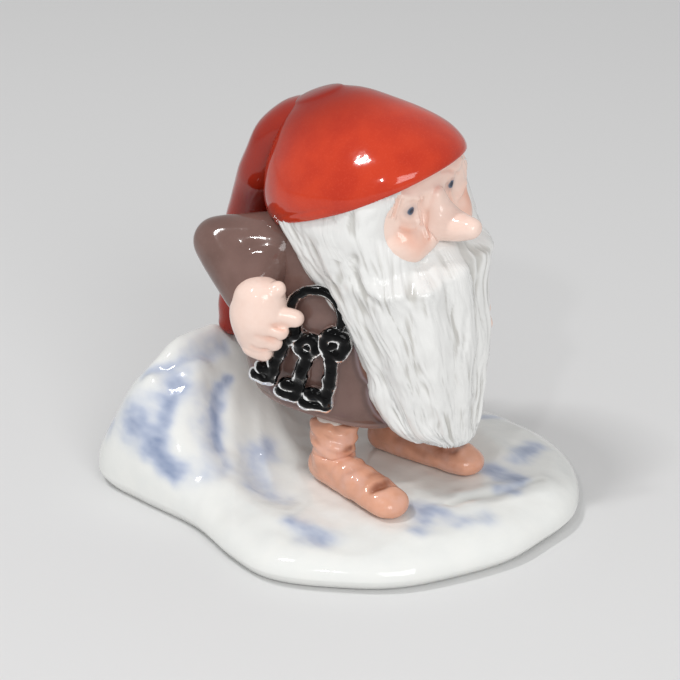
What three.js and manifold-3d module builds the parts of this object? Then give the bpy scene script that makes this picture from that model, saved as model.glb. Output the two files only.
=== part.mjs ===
// Christmas elf figurine in glazed porcelain. An old elf with a long beard and a cap stands on a
// bank of snow, with a ring of keys in the right hand.
// Millimetres, +Z up. The elf faces -Y, and its right side is the -X side. The origin is on the
// table, under the middle of the figurine.

import * as THREE from 'three';
import { mergeVertices } from 'three/addons/utils/BufferGeometryUtils.js';
import Module from 'manifold-3d';

const wasm = await Module();
wasm.setup();

// Gap that the slip fills where one cast part is joined to another
const slip = 0.3;

// How far the ends of the castings are rounded
const endRound = 3;
const edgeRound = 1.2;

// Snow
const snowThickness = 9;
const snowWidth = 88;
const snowLength = 102;
const snowBack = 15;
const snowRound = 3;
const driftRise = 24.6;
const driftBack = 49;
const driftRight = 12;
const driftSpread = 37;
const driftDepth = 15;
const footRim = 7;
const footRecess = 2.2;

// Coat, its heights measured from the snow under the boots
const hemHeight = 14.5;
const hemRise = 3;
const coatHeight = 48;
const coatWidth = 39;
const coatDepth = 46;
const coatBack = 15.5;
const coatLean = 3.5;

// Arms
const shoulderDrop = 8.5;
const shoulderHeight = hemHeight + coatHeight - shoulderDrop;
const shoulderSpan = 23;
const sleeveThickness = 14.5;
const elbowThickness = 12;
const wristThickness = 11.6;
const handLength = 12.5;
const handThickness = 11;
const fingerThickness = 4.8;
const shoulderBack = 5;
const rightElbowOut = 1;
const rightElbowBack = 19.5;
const leftElbowOut = 3;
const leftElbowBack = 9;
const leftElbowDrop = 11;
const leftHandForward = 18;
const leftHandDrop = 5;
const handSink = 2;

// Head
const headWidth = 31;
const headDepth = 26;
const headHeight = 30;
const neckHeight = 4.5;
const headRise = hemHeight + coatHeight + neckHeight;
const headForward = 12.5;
const headTurn = 3;
const headTilt = 7;
const openingWidth = 31.4;
const openingHeight = 21.5;
const noseLength = 14;
const noseWidth = 8.4;
const noseHeight = 10.4;
const noseSink = 3;

// Beard, with the side hair
const beardLength = 59;
const hairRise = 4;
const beardTip = headRise + hairRise - beardLength;
const beardWidth = 38;
const beardDepth = 38;
const beardLocks = 11;
const lockDepth = 1;
const lockSway = 0.8;

// Cap
const capWidth = 41;
const capDepth = 49;
const capHeight = 22.8;
const capPitch = 22;
const capBack = 5;
const capRise = 1.9;
const brimRise = 1;
const brimFall = 6;
const brimRoll = 1.6;
const tailWidth = 21;
const tailThickness = 12;
const tailLength = 30;
const tailRise = 2;

// Ring and keys
const ringHeight = 43;
const ringRadius = 5.8;
const ringThickness = 2.4;
const keyThickness = 2.2;
const shankWidth = 2.5;
const bitLength = 5.4;
const hookReach = 7.4;
const keyLift = 1;

// Legs
const stance = 23.4;
const stanceRight = 1.8;
const toesOut = 8.5;
const bootLength = 30;
const bootWidth = 10;
const bootHeight = 8;
const shaftHeight = 8.2;
const shaftWidth = 10;
const cuffHeight = 4.2;
const cuffWidth = 12.4;
const stockingWidth = 8;
const stockingLean = 3;
const stockingTuck = 3;

const radians = THREE.MathUtils.degToRad;
const figurine = new THREE.Group();

// A group inside another, at a place and turned by angles in degrees, about X first
function groupIn(parent, [x, y, z], [turnX, turnY, turnZ] = [0, 0, 0]) {
  const group = new THREE.Group();
  group.position.set(x, y, z);
  group.rotation.set(radians(turnX), radians(turnY), radians(turnZ), 'ZYX');
  parent.add(group);
  group.updateWorldMatrix(true, false);
  return group;
}

// Closed geometry, given in a group's frame, as a solid in the figurine's frame
function solid(geometry, group) {
  const bare = geometry.clone().applyMatrix4(group.matrixWorld);
  bare.deleteAttribute('normal');
  bare.deleteAttribute('uv');
  const merged = mergeVertices(bare, 1e-4);
  return new wasm.Manifold(new wasm.Mesh({
    numProp: 3,
    vertProperties: Float32Array.from(merged.attributes.position.array),
    triVerts: Uint32Array.from(merged.index.array),
  }));
}

function join(...solids) {
  return solids.reduce((whole, next) => whole.add(next));
}

function cut(body, ...tools) {
  return tools.reduce((rest, tool) => rest.subtract(tool), body);
}

// A solid hung in its group as a named mesh with its glaze
function addPiece(name, group, body, glaze) {
  const { vertProperties, triVerts } = body.getMesh();
  const geometry = new THREE.BufferGeometry();
  geometry.setAttribute('position', new THREE.BufferAttribute(vertProperties, 3));
  geometry.setIndex(new THREE.BufferAttribute(triVerts, 1));
  geometry.applyMatrix4(group.matrixWorld.clone().invert());
  geometry.computeVertexNormals();
  const mesh = new THREE.Mesh(geometry, new THREE.MeshStandardMaterial(glaze));
  mesh.name = name;
  group.add(mesh);
}

// The curves that a form's stations give: where its middle runs, its half widths and its square
function curvesOf(stations) {
  const through = (pick) => new THREE.CatmullRomCurve3(stations.map(pick), false, 'catmullrom');
  return {
    spine: through(([x, y, z]) => new THREE.Vector3(x, y, z)),
    halves: through(([, , , across, deep, square = 2]) => new THREE.Vector3(across, deep, square)),
  };
}

// A closed round form strung on a spine. Each station is [x, y, z, half width, half depth], and
// may add how square the ring is, where 2 is an ellipse. The width runs along side, and the ends
// are domes of their own lengths. A level form has its rings flat, whatever way the spine leans.
// Grow makes the form larger all round, for cutting a seat.
function form(stations, { startDome, endDome, side = [1, 0, 0], level = false, around, along,
  domeRows = 3 }, grow = 0) {
  const { spine, halves } = curvesOf(stations);
  const rows = along + 2 * domeRows;
  const geometry = new THREE.SphereGeometry(1, around, rows);
  const points = geometry.attributes.position;
  for (let i = 0; i < points.count; i++) {
    const row = rows - Math.floor(i / (around + 1));
    const angle = 2 * Math.PI * ((i % (around + 1)) % around) / around;
    const share = THREE.MathUtils.clamp((row - domeRows) / along, 0, 1);
    const below = Math.max(0, domeRows - row) / domeRows * Math.PI / 2;
    const above = Math.max(0, row - domeRows - along) / domeRows * Math.PI / 2;
    const heading = level ? new THREE.Vector3(0, 0, 1) : spine.getTangent(share);
    const across = new THREE.Vector3(...side);
    across.addScaledVector(heading, -across.dot(heading)).normalize();
    const deep = new THREE.Vector3().crossVectors(across, heading);
    const half = halves.getPoint(share);
    const bulge = (value) => Math.sign(value) * Math.abs(value) ** (2 / half.z);
    const narrow = Math.cos(below + above);
    const point = spine.getPoint(share)
      .addScaledVector(heading, (endDome + grow) * Math.sin(above) - (startDome + grow) * Math.sin(below))
      .addScaledVector(across, -(half.x + grow) * narrow * bulge(Math.cos(angle)))
      .addScaledVector(deep, (half.y + grow) * narrow * bulge(Math.sin(angle)));
    points.setXYZ(i, point.x, point.y, point.z);
  }
  return geometry;
}

// A rounded bar between two points, such as a finger
function bar(start, end, startThickness, endThickness, grow = 0, around = 8) {
  const stations = [[...start, startThickness / 2, startThickness / 2],
    [...end, endThickness / 2, endThickness / 2]];
  return form(stations, {
    startDome: startThickness / 2, endDome: endThickness / 2, side: [0.2, 0.3, 1], around, along: 1,
    domeRows: around / 4,
  }, grow);
}

// The middle and the half widths of a level form at one height
function ringAt(stations, height) {
  const { spine, halves } = curvesOf(stations);
  let low = 0;
  let high = 1;
  for (let step = 0; step < 24; step++) {
    const middle = (low + high) / 2;
    if (spine.getPoint(middle).z < height) low = middle;
    else high = middle;
  }
  return { middle: spine.getPoint(low), half: halves.getPoint(low) };
}

// Snow: a rounded top with a drift behind the elf, a rounded edge, a flat foot rim and a shallow
// hollow below. The outline is in shares of the half width and half length.
const snowOutline = [
  [0.19, -1.0], [0.48, -0.97], [0.76, -0.81], [0.94, -0.6], [1.0, -0.38], [1.0, -0.12],
  [0.88, 0.22], [0.54, 0.58], [0.13, 0.83], [-0.3, 0.98], [-0.65, 1.0], [-0.84, 0.86],
  [-0.87, 0.61], [-0.88, 0.25], [-0.98, -0.07], [-1.0, -0.31], [-0.86, -0.55], [-0.6, -0.8],
  [-0.13, -0.98],
];
const snowEdge = new THREE.CatmullRomCurve3(snowOutline.map(([across, along]) => new THREE.Vector3(
  across * snowWidth / 2, snowBack + along * snowLength / 2, 0)), true, 'catmullrom');

// Its ridges and hollows: the two ends, the width and the height
const snowFolds = [
  [[-31, 54], [-10, 49], 4, 1.5], [[-20, 42], [-30, 31], 3.6, 1.5], [[-27, 46], [-35, 42], 3, -1.4],
  [[-24, 33], [-19, 39], 3, -1.2], [[-20, 27], [-26, 13], 4.5, -1.1], [[-31, 22], [-32, 4], 4, 0.9],
  [[24, -13], [31, 6], 4, 1.1], [[20, 32], [32, 14], 4.5, 1.4], [[3, 48], [14, 33], 4, -1.3],
  [[2, -17], [21, -27], 3, 0.9],
];

function snowTop(x, y) {
  const across = (x + driftRight) / driftSpread;
  const along = (y - driftBack) / driftDepth;
  const spot = new THREE.Vector3(x, y, 0);
  const fold = new THREE.Line3();
  const nearest = new THREE.Vector3();
  return snowFolds.reduce((height, [start, end, width, rise]) => {
    fold.start.set(...start, 0);
    fold.end.set(...end, 0);
    const away = fold.closestPointToPoint(spot, true, nearest).distanceTo(spot) / width;
    return height + rise * Math.exp(-(away ** 2));
  }, snowThickness + driftRise * Math.exp(-(across ** 2) - along ** 2));
}

function snow(grow = 0) {
  const around = 56;
  const topRows = 16;
  const middle = new THREE.Vector3(0, snowBack, 0);
  const rim = 1 - 2 * snowRound / snowWidth;
  const hollow = rim - 2 * footRim / snowWidth;
  const bottom = [[(1 + rim) / 2, snowRound * 0.25], [rim, 0], [hollow, 0], [hollow - 0.03, footRecess],
    [0, footRecess]];
  const geometry = new THREE.SphereGeometry(1, around, topRows + bottom.length);
  const points = geometry.attributes.position;
  for (let i = 0; i < points.count; i++) {
    const row = Math.floor(i / (around + 1));
    const edge = snowEdge.getPoint(((i % (around + 1)) % around) / around);
    edge.addScaledVector(edge.clone().sub(middle).normalize(), grow);
    const isTop = row <= topRows;
    const [out, low] = isTop ? [1 - (1 - row / topRows) ** 1.8, snowRound] : bottom[row - topRows - 1];
    const point = middle.clone().lerp(edge, out);
    const fall = Math.sqrt(1 - out ** 9);
    const height = isTop ? low + (snowTop(point.x, point.y) + grow - low) * fall : low;
    points.setXYZ(i, point.x, point.y, height);
  }
  return solid(geometry, figurine);
}

// Coat: each ring is [height, backward lean, width, depth] in shares of its sizes. It is fullest
// low at the back, where the hem rises.
const elf = groupIn(figurine, [0, 0, snowThickness]);
const coatShape = [
  [0, 0.5, 0.9, 0.9], [0.08, 0.65, 0.95, 0.95], [0.25, 0.85, 1, 1], [0.45, 0.6, 0.97, 0.9],
  [0.64, 0.75, 0.93, 0.83], [0.8, 1, 0.85, 0.75], [0.92, 1, 0.72, 0.63], [1, 0.8, 0.52, 0.48],
];
const coatStations = coatShape.map(([up, lean, across, deep]) => [
  0, coatBack + lean * coatLean, hemHeight + up * coatHeight, across * coatWidth / 2, deep * coatDepth / 2,
]);
const coatRounding = { startDome: edgeRound, endDome: endRound, level: true, around: 32, along: 12 };
function coat(grow = 0) {
  const geometry = form(coatStations, coatRounding, grow);
  const points = geometry.attributes.position;
  for (let i = 0; i < points.count; i++) {
    const low = 1 - THREE.MathUtils.clamp((points.getZ(i) - hemHeight) / coatHeight, 0, 1);
    const back = THREE.MathUtils.smoothstep(points.getY(i), coatBack - coatDepth / 2, coatBack);
    points.setZ(i, points.getZ(i) + hemRise * low * back);
  }
  return solid(geometry, elf);
}

// The flank, where the ring lies on the coat: X runs forward along the coat, Y up and Z out
const flankTurn = -63.5;
const flankRing = ringAt(coatStations, ringHeight);
const flank = groupIn(elf, [
  flankRing.middle.x + flankRing.half.x * Math.sin(radians(flankTurn)),
  flankRing.middle.y - flankRing.half.y * Math.cos(radians(flankTurn)),
  ringHeight,
], [90, 0, flankTurn]);

// Hands, each in a frame like the flank's. A finger is [start, tip], both in shares of the hand's
// length forward, up and out from the palm.
const palmShape = [[-0.5, 0.44, 0.46], [-0.1, 0.54, 0.56], [0.34, 0.46, 0.48]];
const fistFingers = [
  [[0.2, 0.05, 0.15], [0.66, -0.05, 0.05]],
  [[0.1, -0.14, 0.26], [0.42, -0.26, 0.2]],
  [[0.06, -0.4, 0.22], [0.3, -0.5, 0.16]],
  [[-0.1, -0.62, 0.16], [0.1, -0.74, 0.12]],
  [[0.16, 0.32, 0.12], [0.34, 0.46, 0.06]],
];
const openFingers = [
  [[0.3, 0.3, 0.1], [0.9, 0.26, -0.1]],
  [[0.3, 0.08, 0.12], [1, 0, -0.12]],
  [[0.3, -0.14, 0.12], [0.95, -0.26, -0.12]],
  [[0.25, -0.34, 0.1], [0.8, -0.5, -0.1]],
  [[0.05, 0.42, 0.1], [0.4, 0.64, 0.02]],
];
const leftTurn = -107;
const rightPalm = groupIn(flank, [-handLength, 0, handSink]);
const leftPalm = groupIn(elf, [
  coatWidth / 2 - handSink, coatBack - leftHandForward, ringHeight - leftHandDrop,
], [90, 0, leftTurn]);

function hand(palmGroup, fingers, outward, grow = 0) {
  const reach = ([forward, up, out]) => [forward, up, outward * out].map((share) => share * handLength);
  const palm = form(palmShape.map(([up, across, deep]) => [
    0, up * handLength, 0, across * handLength, deep * handThickness,
  ]), {
    startDome: handThickness / 3, endDome: handThickness / 3, around: 12, along: 4, domeRows: 2,
  }, grow);
  const digits = fingers.map(([start, tip]) => solid(
    bar(reach(start), reach(tip), fingerThickness, fingerThickness * 0.9, grow), palmGroup));
  return join(solid(palm, palmGroup), ...digits);
}

// Sleeves: the upper arm goes back to the elbow, the lower arm comes forward to the hand, and a
// fold of the loose sleeve fills the bend
function sleeve(elbow, palmGroup, outward, grow = 0) {
  const wrist = elf.worldToLocal(palmGroup.getWorldPosition(new THREE.Vector3()));
  const shoulder = new THREE.Vector3(
    outward * shoulderSpan / 2, coatBack + coatLean + shoulderBack, shoulderHeight);
  const bend = new THREE.Vector3(...elbow);
  const cuff = bend.clone().lerp(wrist, 0.72).toArray();
  const upper = bar(elbow, shoulder.toArray(), elbowThickness, sleeveThickness, grow, 12);
  const lower = bar(elbow, cuff, elbowThickness, wristThickness, grow, 12);
  const inside = shoulder.clone().lerp(wrist, 0.2).toArray();
  const fold = bar(inside, cuff, wristThickness, wristThickness, grow, 12);
  return join(solid(upper, elf), solid(lower, elf), solid(fold, elf));
}
const rightElbow = [-coatWidth / 2 - rightElbowOut, coatBack + rightElbowBack, shoulderHeight];
const leftElbow = [coatWidth / 2 + leftElbowOut, coatBack + leftElbowBack, shoulderHeight - leftElbowDrop];
const rightSleeve = (grow) => sleeve(rightElbow, rightPalm, -1, grow);
const leftSleeve = (grow) => sleeve(leftElbow, leftPalm, 1, grow);

// Head: a broad head, with the long nose on it. Its rings are [height, forward, width, depth,
// square], and the nose's rings are [forward, up, width, height].
const head = groupIn(elf, [0, coatBack - headForward, headRise], [0, -headTilt, headTurn]);
const headShape = [
  [-0.36, 0.03, 0.84, 0.84, 2.6], [-0.2, 0.06, 0.97, 0.99, 3.4], [0, 0, 1, 0.96, 3.2],
  [0.2, 0.03, 0.97, 0.95, 3], [0.36, 0, 0.85, 0.85, 2.6],
];
const noseShape = [
  [0, 0.12, 0.85, 1.36], [0.35, 0, 0.96, 1.12], [0.68, -0.12, 0.95, 0.86], [1, -0.19, 0.8, 0.64],
];
function face(grow = 0) {
  const skullDome = headHeight * 0.14;
  const skull = form(headShape.map(([up, forward, across, deep, square]) => [
    0, -forward * headDepth, up * headHeight, across * headWidth / 2, deep * headDepth / 2, square,
  ]), { startDome: skullDome, endDome: skullDome, level: true, around: 24, along: 8, domeRows: 2 }, grow);
  const tipDome = noseHeight * 0.26;
  const root = headDepth / 2 - noseSink;
  const nose = form(noseShape.map(([forward, up, across, tall]) => [
    0, -root - forward * (noseLength - tipDome), up * noseHeight,
    across * noseWidth / 2, tall * noseHeight / 2,
  ]), { startDome: noseSink, endDome: tipDome, around: 14, along: 4, domeRows: 2 }, grow);
  return join(solid(skull, head), solid(nose, head));
}

// Beard: each ring is [height, backward place, width, depth, square] in shares of its sizes. Broad
// locks run down it, and sway as they go.
const beardShape = [
  [0.06, -0.39, 0.32, 0.26, 2], [0.11, -0.31, 0.48, 0.44, 2.1], [0.18, -0.25, 0.58, 0.56, 2.2],
  [0.32, -0.19, 0.7, 0.68, 2.3], [0.48, -0.11, 0.82, 0.82, 2.3], [0.64, 0, 0.92, 0.94, 2.5],
  [0.76, 0.06, 1, 0.97, 3.6], [0.88, 0.13, 1.03, 0.97, 4.6], [1, 0.15, 0.98, 0.86, 3.6],
];
const beardStations = beardShape.map(([up, back, across, deep, square]) => [
  0, back * beardDepth, beardTip + up * beardLength, across * beardWidth / 2, deep * beardDepth / 2, square,
]);
function beard() {
  const geometry = form(beardStations, {
    startDome: endRound, endDome: endRound, level: true, around: 44, along: 14, domeRows: 2,
  });
  const points = geometry.attributes.position;
  for (let i = 0; i < points.count; i++) {
    const spot = new THREE.Vector3().fromBufferAttribute(points, i);
    const { middle } = ringAt(beardStations, spot.z);
    const out = new THREE.Vector3(spot.x - middle.x, spot.y - middle.y, 0);
    const angle = Math.atan2(out.x, -out.y);
    const up = (spot.z - beardTip) / beardLength;
    const fade = THREE.MathUtils.smoothstep(up, 0, 0.2) * (1 - THREE.MathUtils.smoothstep(up, 0.8, 1));
    const wave = Math.cos(beardLocks * angle + lockSway * Math.sin(Math.PI * 2 * up));
    spot.addScaledVector(out.normalize(), lockDepth / 2 * fade * wave);
    points.setXYZ(i, spot.x, spot.y, spot.z);
  }
  return solid(geometry, elf);
}

// The hair leaves the face open in an oval
const faceOpening = new THREE.SphereGeometry(0.5, 24, 12);
faceOpening.scale(openingWidth, headDepth * 0.7, openingHeight);
faceOpening.translate(0, -headDepth / 2, 0);

// Cap: a dome whose brim rises a little to the front and falls away to the back, in rings of
// [height, back, width]
const cap = groupIn(head, [0, capBack, capRise], [-capPitch, 0, 0]);
const crownShape = [
  [0, 0, 0.97], [0.1, 0.03, 1], [0.28, 0.08, 0.96], [0.5, 0.13, 0.81], [0.72, 0.17, 0.58], [0.9, 0.19, 0.34],
];
function crown(grow = 0) {
  const geometry = form(crownShape.map(([up, back, wide]) => [
    0, back * capDepth / 2, up * capHeight, wide * capWidth / 2, wide * capDepth / 2,
  ]), {
    startDome: brimRoll / 2, endDome: 0.1 * capHeight, level: true, around: 30, along: 7, domeRows: 3,
  }, grow);
  const points = geometry.attributes.position;
  for (let i = 0; i < points.count; i++) {
    const away = points.getY(i) / (capDepth / 2);
    const hold = Math.max(0, 1 - points.getZ(i) / capHeight);
    const lift = away < 0 ? brimRise * away ** 2 : -brimFall * away ** 3;
    points.setZ(i, points.getZ(i) + lift * hold);
  }
  return solid(geometry, cap);
}

// The cap's end: it leaves the crown at the back, hangs down over the coat and lands on the
// drift. Its first rings are [back, up] on the crown, and the rest are [down, sway, out] from the
// shoulders, with the sway in shares of the tail's width and out in shares of its thickness.
const tailRoot = [[0.12, 0.74], [0.3, 0.73], [0.46, 0.48]];
const tailHang = [
  [0, 0, 0.38], [0.3, 0.04, 0.42], [0.6, 0.1, 0.42], [0.84, 0.2, 0.38], [1, 0.27, 0.36],
];
const tailTaper = [0.6, 0.9, 1, 1, 0.94, 0.8, 0.6, 0.36];
function capTail(grow = 0) {
  const onCrown = tailRoot.map(([back, up]) => elf.worldToLocal(cap.localToWorld(
    new THREE.Vector3(0, back * capDepth, up * capHeight))).toArray());
  const onCoat = tailHang.map(([down, sway, out]) => {
    const height = shoulderHeight + tailRise - down * tailLength;
    const { middle, half } = ringAt(coatStations, Math.min(height, shoulderHeight));
    return [-sway * tailWidth, middle.y + half.y + out * tailThickness, height];
  });
  const stations = [...onCrown, ...onCoat].map((place, i) => [
    ...place, tailTaper[i] * tailWidth / 2, (0.35 + 0.65 * tailTaper[i]) * tailThickness / 2]);
  return solid(form(stations, {
    startDome: endRound, endDome: endRound, around: 18, along: 12, domeRows: 2,
  }, grow), elf);
}

// The ring, half sunk in the relief, and the keys that hang on it. Each key is [name, place round
// the ring, swing, bow radius, shank length, bit width], with the place and swing in degrees.
const ringPlace = groupIn(flank, [0, 0, ringThickness / 3]);
const ring = (grow = 0) => solid(
  new THREE.TorusGeometry(ringRadius, ringThickness / 2 + grow, 8, 28), ringPlace);
const keys = [
  ['key_small', -57, -19, 1.8, 12.6, 3], ['key_middle', -9, -15, 1.8, 11.8, 3],
  ['key_large', 43, -11, 2.3, 13.9, 3.2],
];
function key(hook, bowRadius, shankLength, bitWidth, grow = 0) {
  const bow = new THREE.TorusGeometry(bowRadius, keyThickness / 2 + grow, 6, 16);
  const end = -bowRadius - shankLength;
  const shankRadius = shankWidth / 2 + grow;
  const shank = new THREE.CylinderGeometry(shankRadius, shankRadius, shankLength + 2 * grow, 10);
  shank.translate(0, end + shankLength / 2, 0);
  const blade = new THREE.Shape([
    new THREE.Vector2(0, end + 0.1), new THREE.Vector2(0, end + bitLength),
    new THREE.Vector2(-bitWidth, end + bitLength), new THREE.Vector2(-bitWidth, end + bitLength * 0.35),
  ]);
  const bit = new THREE.ExtrudeGeometry(blade, {
    depth: keyThickness * 0.8, bevelEnabled: grow > 0, bevelThickness: grow, bevelSize: grow,
    bevelSegments: 1,
  });
  bit.translate(0, 0, -keyThickness * 0.4);
  return join(solid(bow, hook), solid(shank, hook), solid(bit, hook));
}
const hungKeys = keys.map(([name, place, swing, ...sizes]) => {
  const around = radians(place);
  const at = [hookReach * Math.sin(around), -hookReach * Math.cos(around), keyLift];
  return { name, hook: groupIn(ringPlace, at, [0, 0, swing]), sizes };
});

// Legs: on each foot a boot with a folded cuff, and a stocking that goes up under the coat
const ankleBack = bootLength * 0.28;
const bootShape = [
  [0.38, 1, 0.88, 1.05], [0.15, 1, 0.92, 1.15], [-0.12, 0.88, 0.97, 0.98], [-0.34, 0.72, 1, 0.8],
];
function boot(place, grow = 0) {
  const foot = form(bootShape.map(([back, up, across, tall]) => [
    0, back * bootLength, up * bootHeight / 2, across * bootWidth / 2, tall * bootHeight / 2,
  ]), { startDome: bootLength * 0.12, endDome: bootLength * 0.16, around: 14, along: 4 }, grow);
  const half = shaftWidth / 2;
  const shaft = form([[0, ankleBack, bootHeight / 2, half, half], [0, ankleBack, shaftHeight, half, half]],
    { startDome: edgeRound, endDome: edgeRound / 2, level: true, around: 16, along: 1, domeRows: 2 }, grow);
  return join(solid(foot, place), solid(shaft, place));
}
function bootCuff(place) {
  const half = cuffWidth / 2;
  const stations = [[0, 1], [0.5, 1.04], [1, 1]].map(([up, wide]) => [
    0, ankleBack, shaftHeight + up * cuffHeight, wide * half, wide * half]);
  return solid(form(stations, {
    startDome: cuffHeight / 4, endDome: cuffHeight / 4, level: true, around: 18, along: 2, domeRows: 1,
  }), place);
}
function stocking(place, side, grow = 0) {
  const half = stockingWidth / 2;
  const stations = [[0, ankleBack, shaftHeight, half, half],
    [-side * stockingLean, ankleBack + stockingLean, hemHeight + stockingTuck, half, half]];
  return solid(form(stations, {
    startDome: edgeRound, endDome: edgeRound, level: true, around: 14, along: 1, domeRows: 1,
  }, grow), place);
}

// The pieces: each is cut by its neighbours, enlarged by the slip
const coatSeat = coat(slip);
const crownSeat = crown(slip);
const faceSeat = face(slip);
const snowSeat = snow(slip);
const rightSleeveSeat = rightSleeve(slip);
const leftSleeveSeat = leftSleeve(slip);
const rightHandSeat = hand(rightPalm, fistFingers, 1, slip);
const leftHandSeat = hand(leftPalm, openFingers, -1, slip);
const ringSeat = ring(slip);
const keySeats = hungKeys.map(({ hook, sizes }) => key(hook, ...sizes, slip));

const coatGlaze = { color: '#7c605a', roughness: 0.15, metalness: 0 };
const skinGlaze = { color: '#ecc3a8', roughness: 0.15, metalness: 0 };
const capGlaze = { color: '#c9321c', roughness: 0.15, metalness: 0 };
const beardGlaze = { color: '#dedbd4', roughness: 0.2, metalness: 0 };
const blackGlaze = { color: '#0c0c0e', roughness: 0.1, metalness: 0 };
const bootGlaze = { color: '#c98a5e', roughness: 0.15, metalness: 0 };
const stockingGlaze = { color: '#e6dccf', roughness: 0.15, metalness: 0 };
const snowGlaze = { color: '#eef0ea', roughness: 0.15, metalness: 0 };

addPiece('snow_base', figurine, cut(snow(), coatSeat, capTail(slip)), snowGlaze);
addPiece('coat_body', elf, coat(), coatGlaze);
addPiece('right_sleeve', elf, cut(rightSleeve(0), coatSeat), coatGlaze);
addPiece('left_sleeve', elf, cut(leftSleeve(0), coatSeat), coatGlaze);
addPiece('right_hand', rightPalm,
  cut(hand(rightPalm, fistFingers, 1), rightSleeveSeat, coatSeat), skinGlaze);
addPiece('left_hand', leftPalm,
  cut(hand(leftPalm, openFingers, -1), leftSleeveSeat, coatSeat), skinGlaze);
addPiece('head', head, cut(face(), coatSeat), skinGlaze);
addPiece('beard', elf, cut(beard(), solid(faceOpening, head), coatSeat, faceSeat, crownSeat,
  rightSleeveSeat, leftSleeveSeat, leftHandSeat, ringSeat, ...keySeats), beardGlaze);
addPiece('cap_crown', cap, cut(crown(), faceSeat, coatSeat, rightSleeveSeat, leftSleeveSeat), capGlaze);
addPiece('cap_tail', elf, cut(capTail(), crownSeat, coatSeat, rightSleeveSeat, leftSleeveSeat), capGlaze);
addPiece('key_ring', ringPlace, cut(ring(), coatSeat, rightHandSeat), blackGlaze);
for (const { name, hook, sizes } of hungKeys) {
  addPiece(name, hook, cut(key(hook, ...sizes), ringSeat, coatSeat, rightHandSeat), blackGlaze);
}
for (const [name, side] of [['right', -1], ['left', 1]]) {
  const place = groupIn(elf, [side * stance / 2 - stanceRight, 0, 0], [0, 0, side * toesOut]);
  const bootSeat = boot(place, slip);
  addPiece(`${name}_boot`, place, cut(boot(place), snowSeat), bootGlaze);
  addPiece(`${name}_stocking`, place, cut(stocking(place, side), bootSeat, coatSeat), stockingGlaze);
  addPiece(`${name}_boot_cuff`, place, cut(bootCuff(place), bootSeat, stocking(place, side, slip),
    coatSeat), bootGlaze);
}

const box = new THREE.Box3().setFromObject(figurine, true);
figurine.position.set(-(box.min.x + box.max.x) / 2, -(box.min.y + box.max.y) / 2, -box.min.z);

export default figurine;
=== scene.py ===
import math

import bmesh
import bpy
import numpy as np
from mathutils import Matrix, Vector, noise
from mathutils.bvhtree import BVHTree


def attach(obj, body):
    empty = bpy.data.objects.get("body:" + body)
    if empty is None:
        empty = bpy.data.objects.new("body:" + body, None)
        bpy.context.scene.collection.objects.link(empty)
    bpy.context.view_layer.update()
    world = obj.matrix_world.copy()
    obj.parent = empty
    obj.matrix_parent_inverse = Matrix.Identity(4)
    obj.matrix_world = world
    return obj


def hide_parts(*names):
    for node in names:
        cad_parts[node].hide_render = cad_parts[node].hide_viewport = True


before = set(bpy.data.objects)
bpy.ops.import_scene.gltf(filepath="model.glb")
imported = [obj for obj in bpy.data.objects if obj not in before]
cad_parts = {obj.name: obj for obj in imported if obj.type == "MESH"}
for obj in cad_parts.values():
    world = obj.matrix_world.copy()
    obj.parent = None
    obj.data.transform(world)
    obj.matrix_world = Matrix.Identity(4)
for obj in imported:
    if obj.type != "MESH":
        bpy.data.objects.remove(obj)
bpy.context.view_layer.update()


# Snow bank
# The base is a bank of snow, cast hollow in white porcelain with a foot rim below. A drift rises
# behind the elf. Ridges and hollows are modelled in it, cobalt blue is brushed into them, and
# all of it lies under clear gloss glaze.
# Grey shade is painted into the deep hollows and where the elf's shadow falls.

MM = 0.001
FIGURE_MIDDLE = Vector((0.0676, 15.1306, 0))
SNOW_THICK, SNOW_WIDTH, SNOW_LENGTH, SNOW_BACK = 9, 88, 102, 15
SNOW_EDGE_ROUND = 3
DRIFT_RISE, DRIFT_PLACE, DRIFT_SPREAD = 24.6, (-12, 49), (37, 15)
SNOW_OUTLINE = [
    (0.19, -1.0), (0.48, -0.97), (0.76, -0.81), (0.94, -0.6), (1.0, -0.38), (1.0, -0.12),
    (0.88, 0.22), (0.54, 0.58), (0.13, 0.83), (-0.3, 0.98), (-0.65, 1.0), (-0.84, 0.86),
    (-0.87, 0.61), (-0.88, 0.25), (-0.98, -0.07), (-1.0, -0.31), (-0.86, -0.55), (-0.6, -0.8),
    (-0.13, -0.98),
]
# Hollows that are also brushed or shaded, as points seen from above
SHOULDER_HOLLOW = [(-28.5, 52), (-24.6, 47.6), (-15.6, 44.3), (-10.5, 44.4)]
EDGE_HOLLOW = [(-36.1, 42.9), (-36.2, 39.3), (-35.8, 34.6)]
SMALL_HOLLOW = [(-26.7, 27.8), (-28.2, 26.9)]
FRONT_HOLLOW = [(-2.3, -17.6), (3.3, -19.7), (8.6, -22.7), (13.2, -24.2), (20.2, -25.5)]
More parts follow.
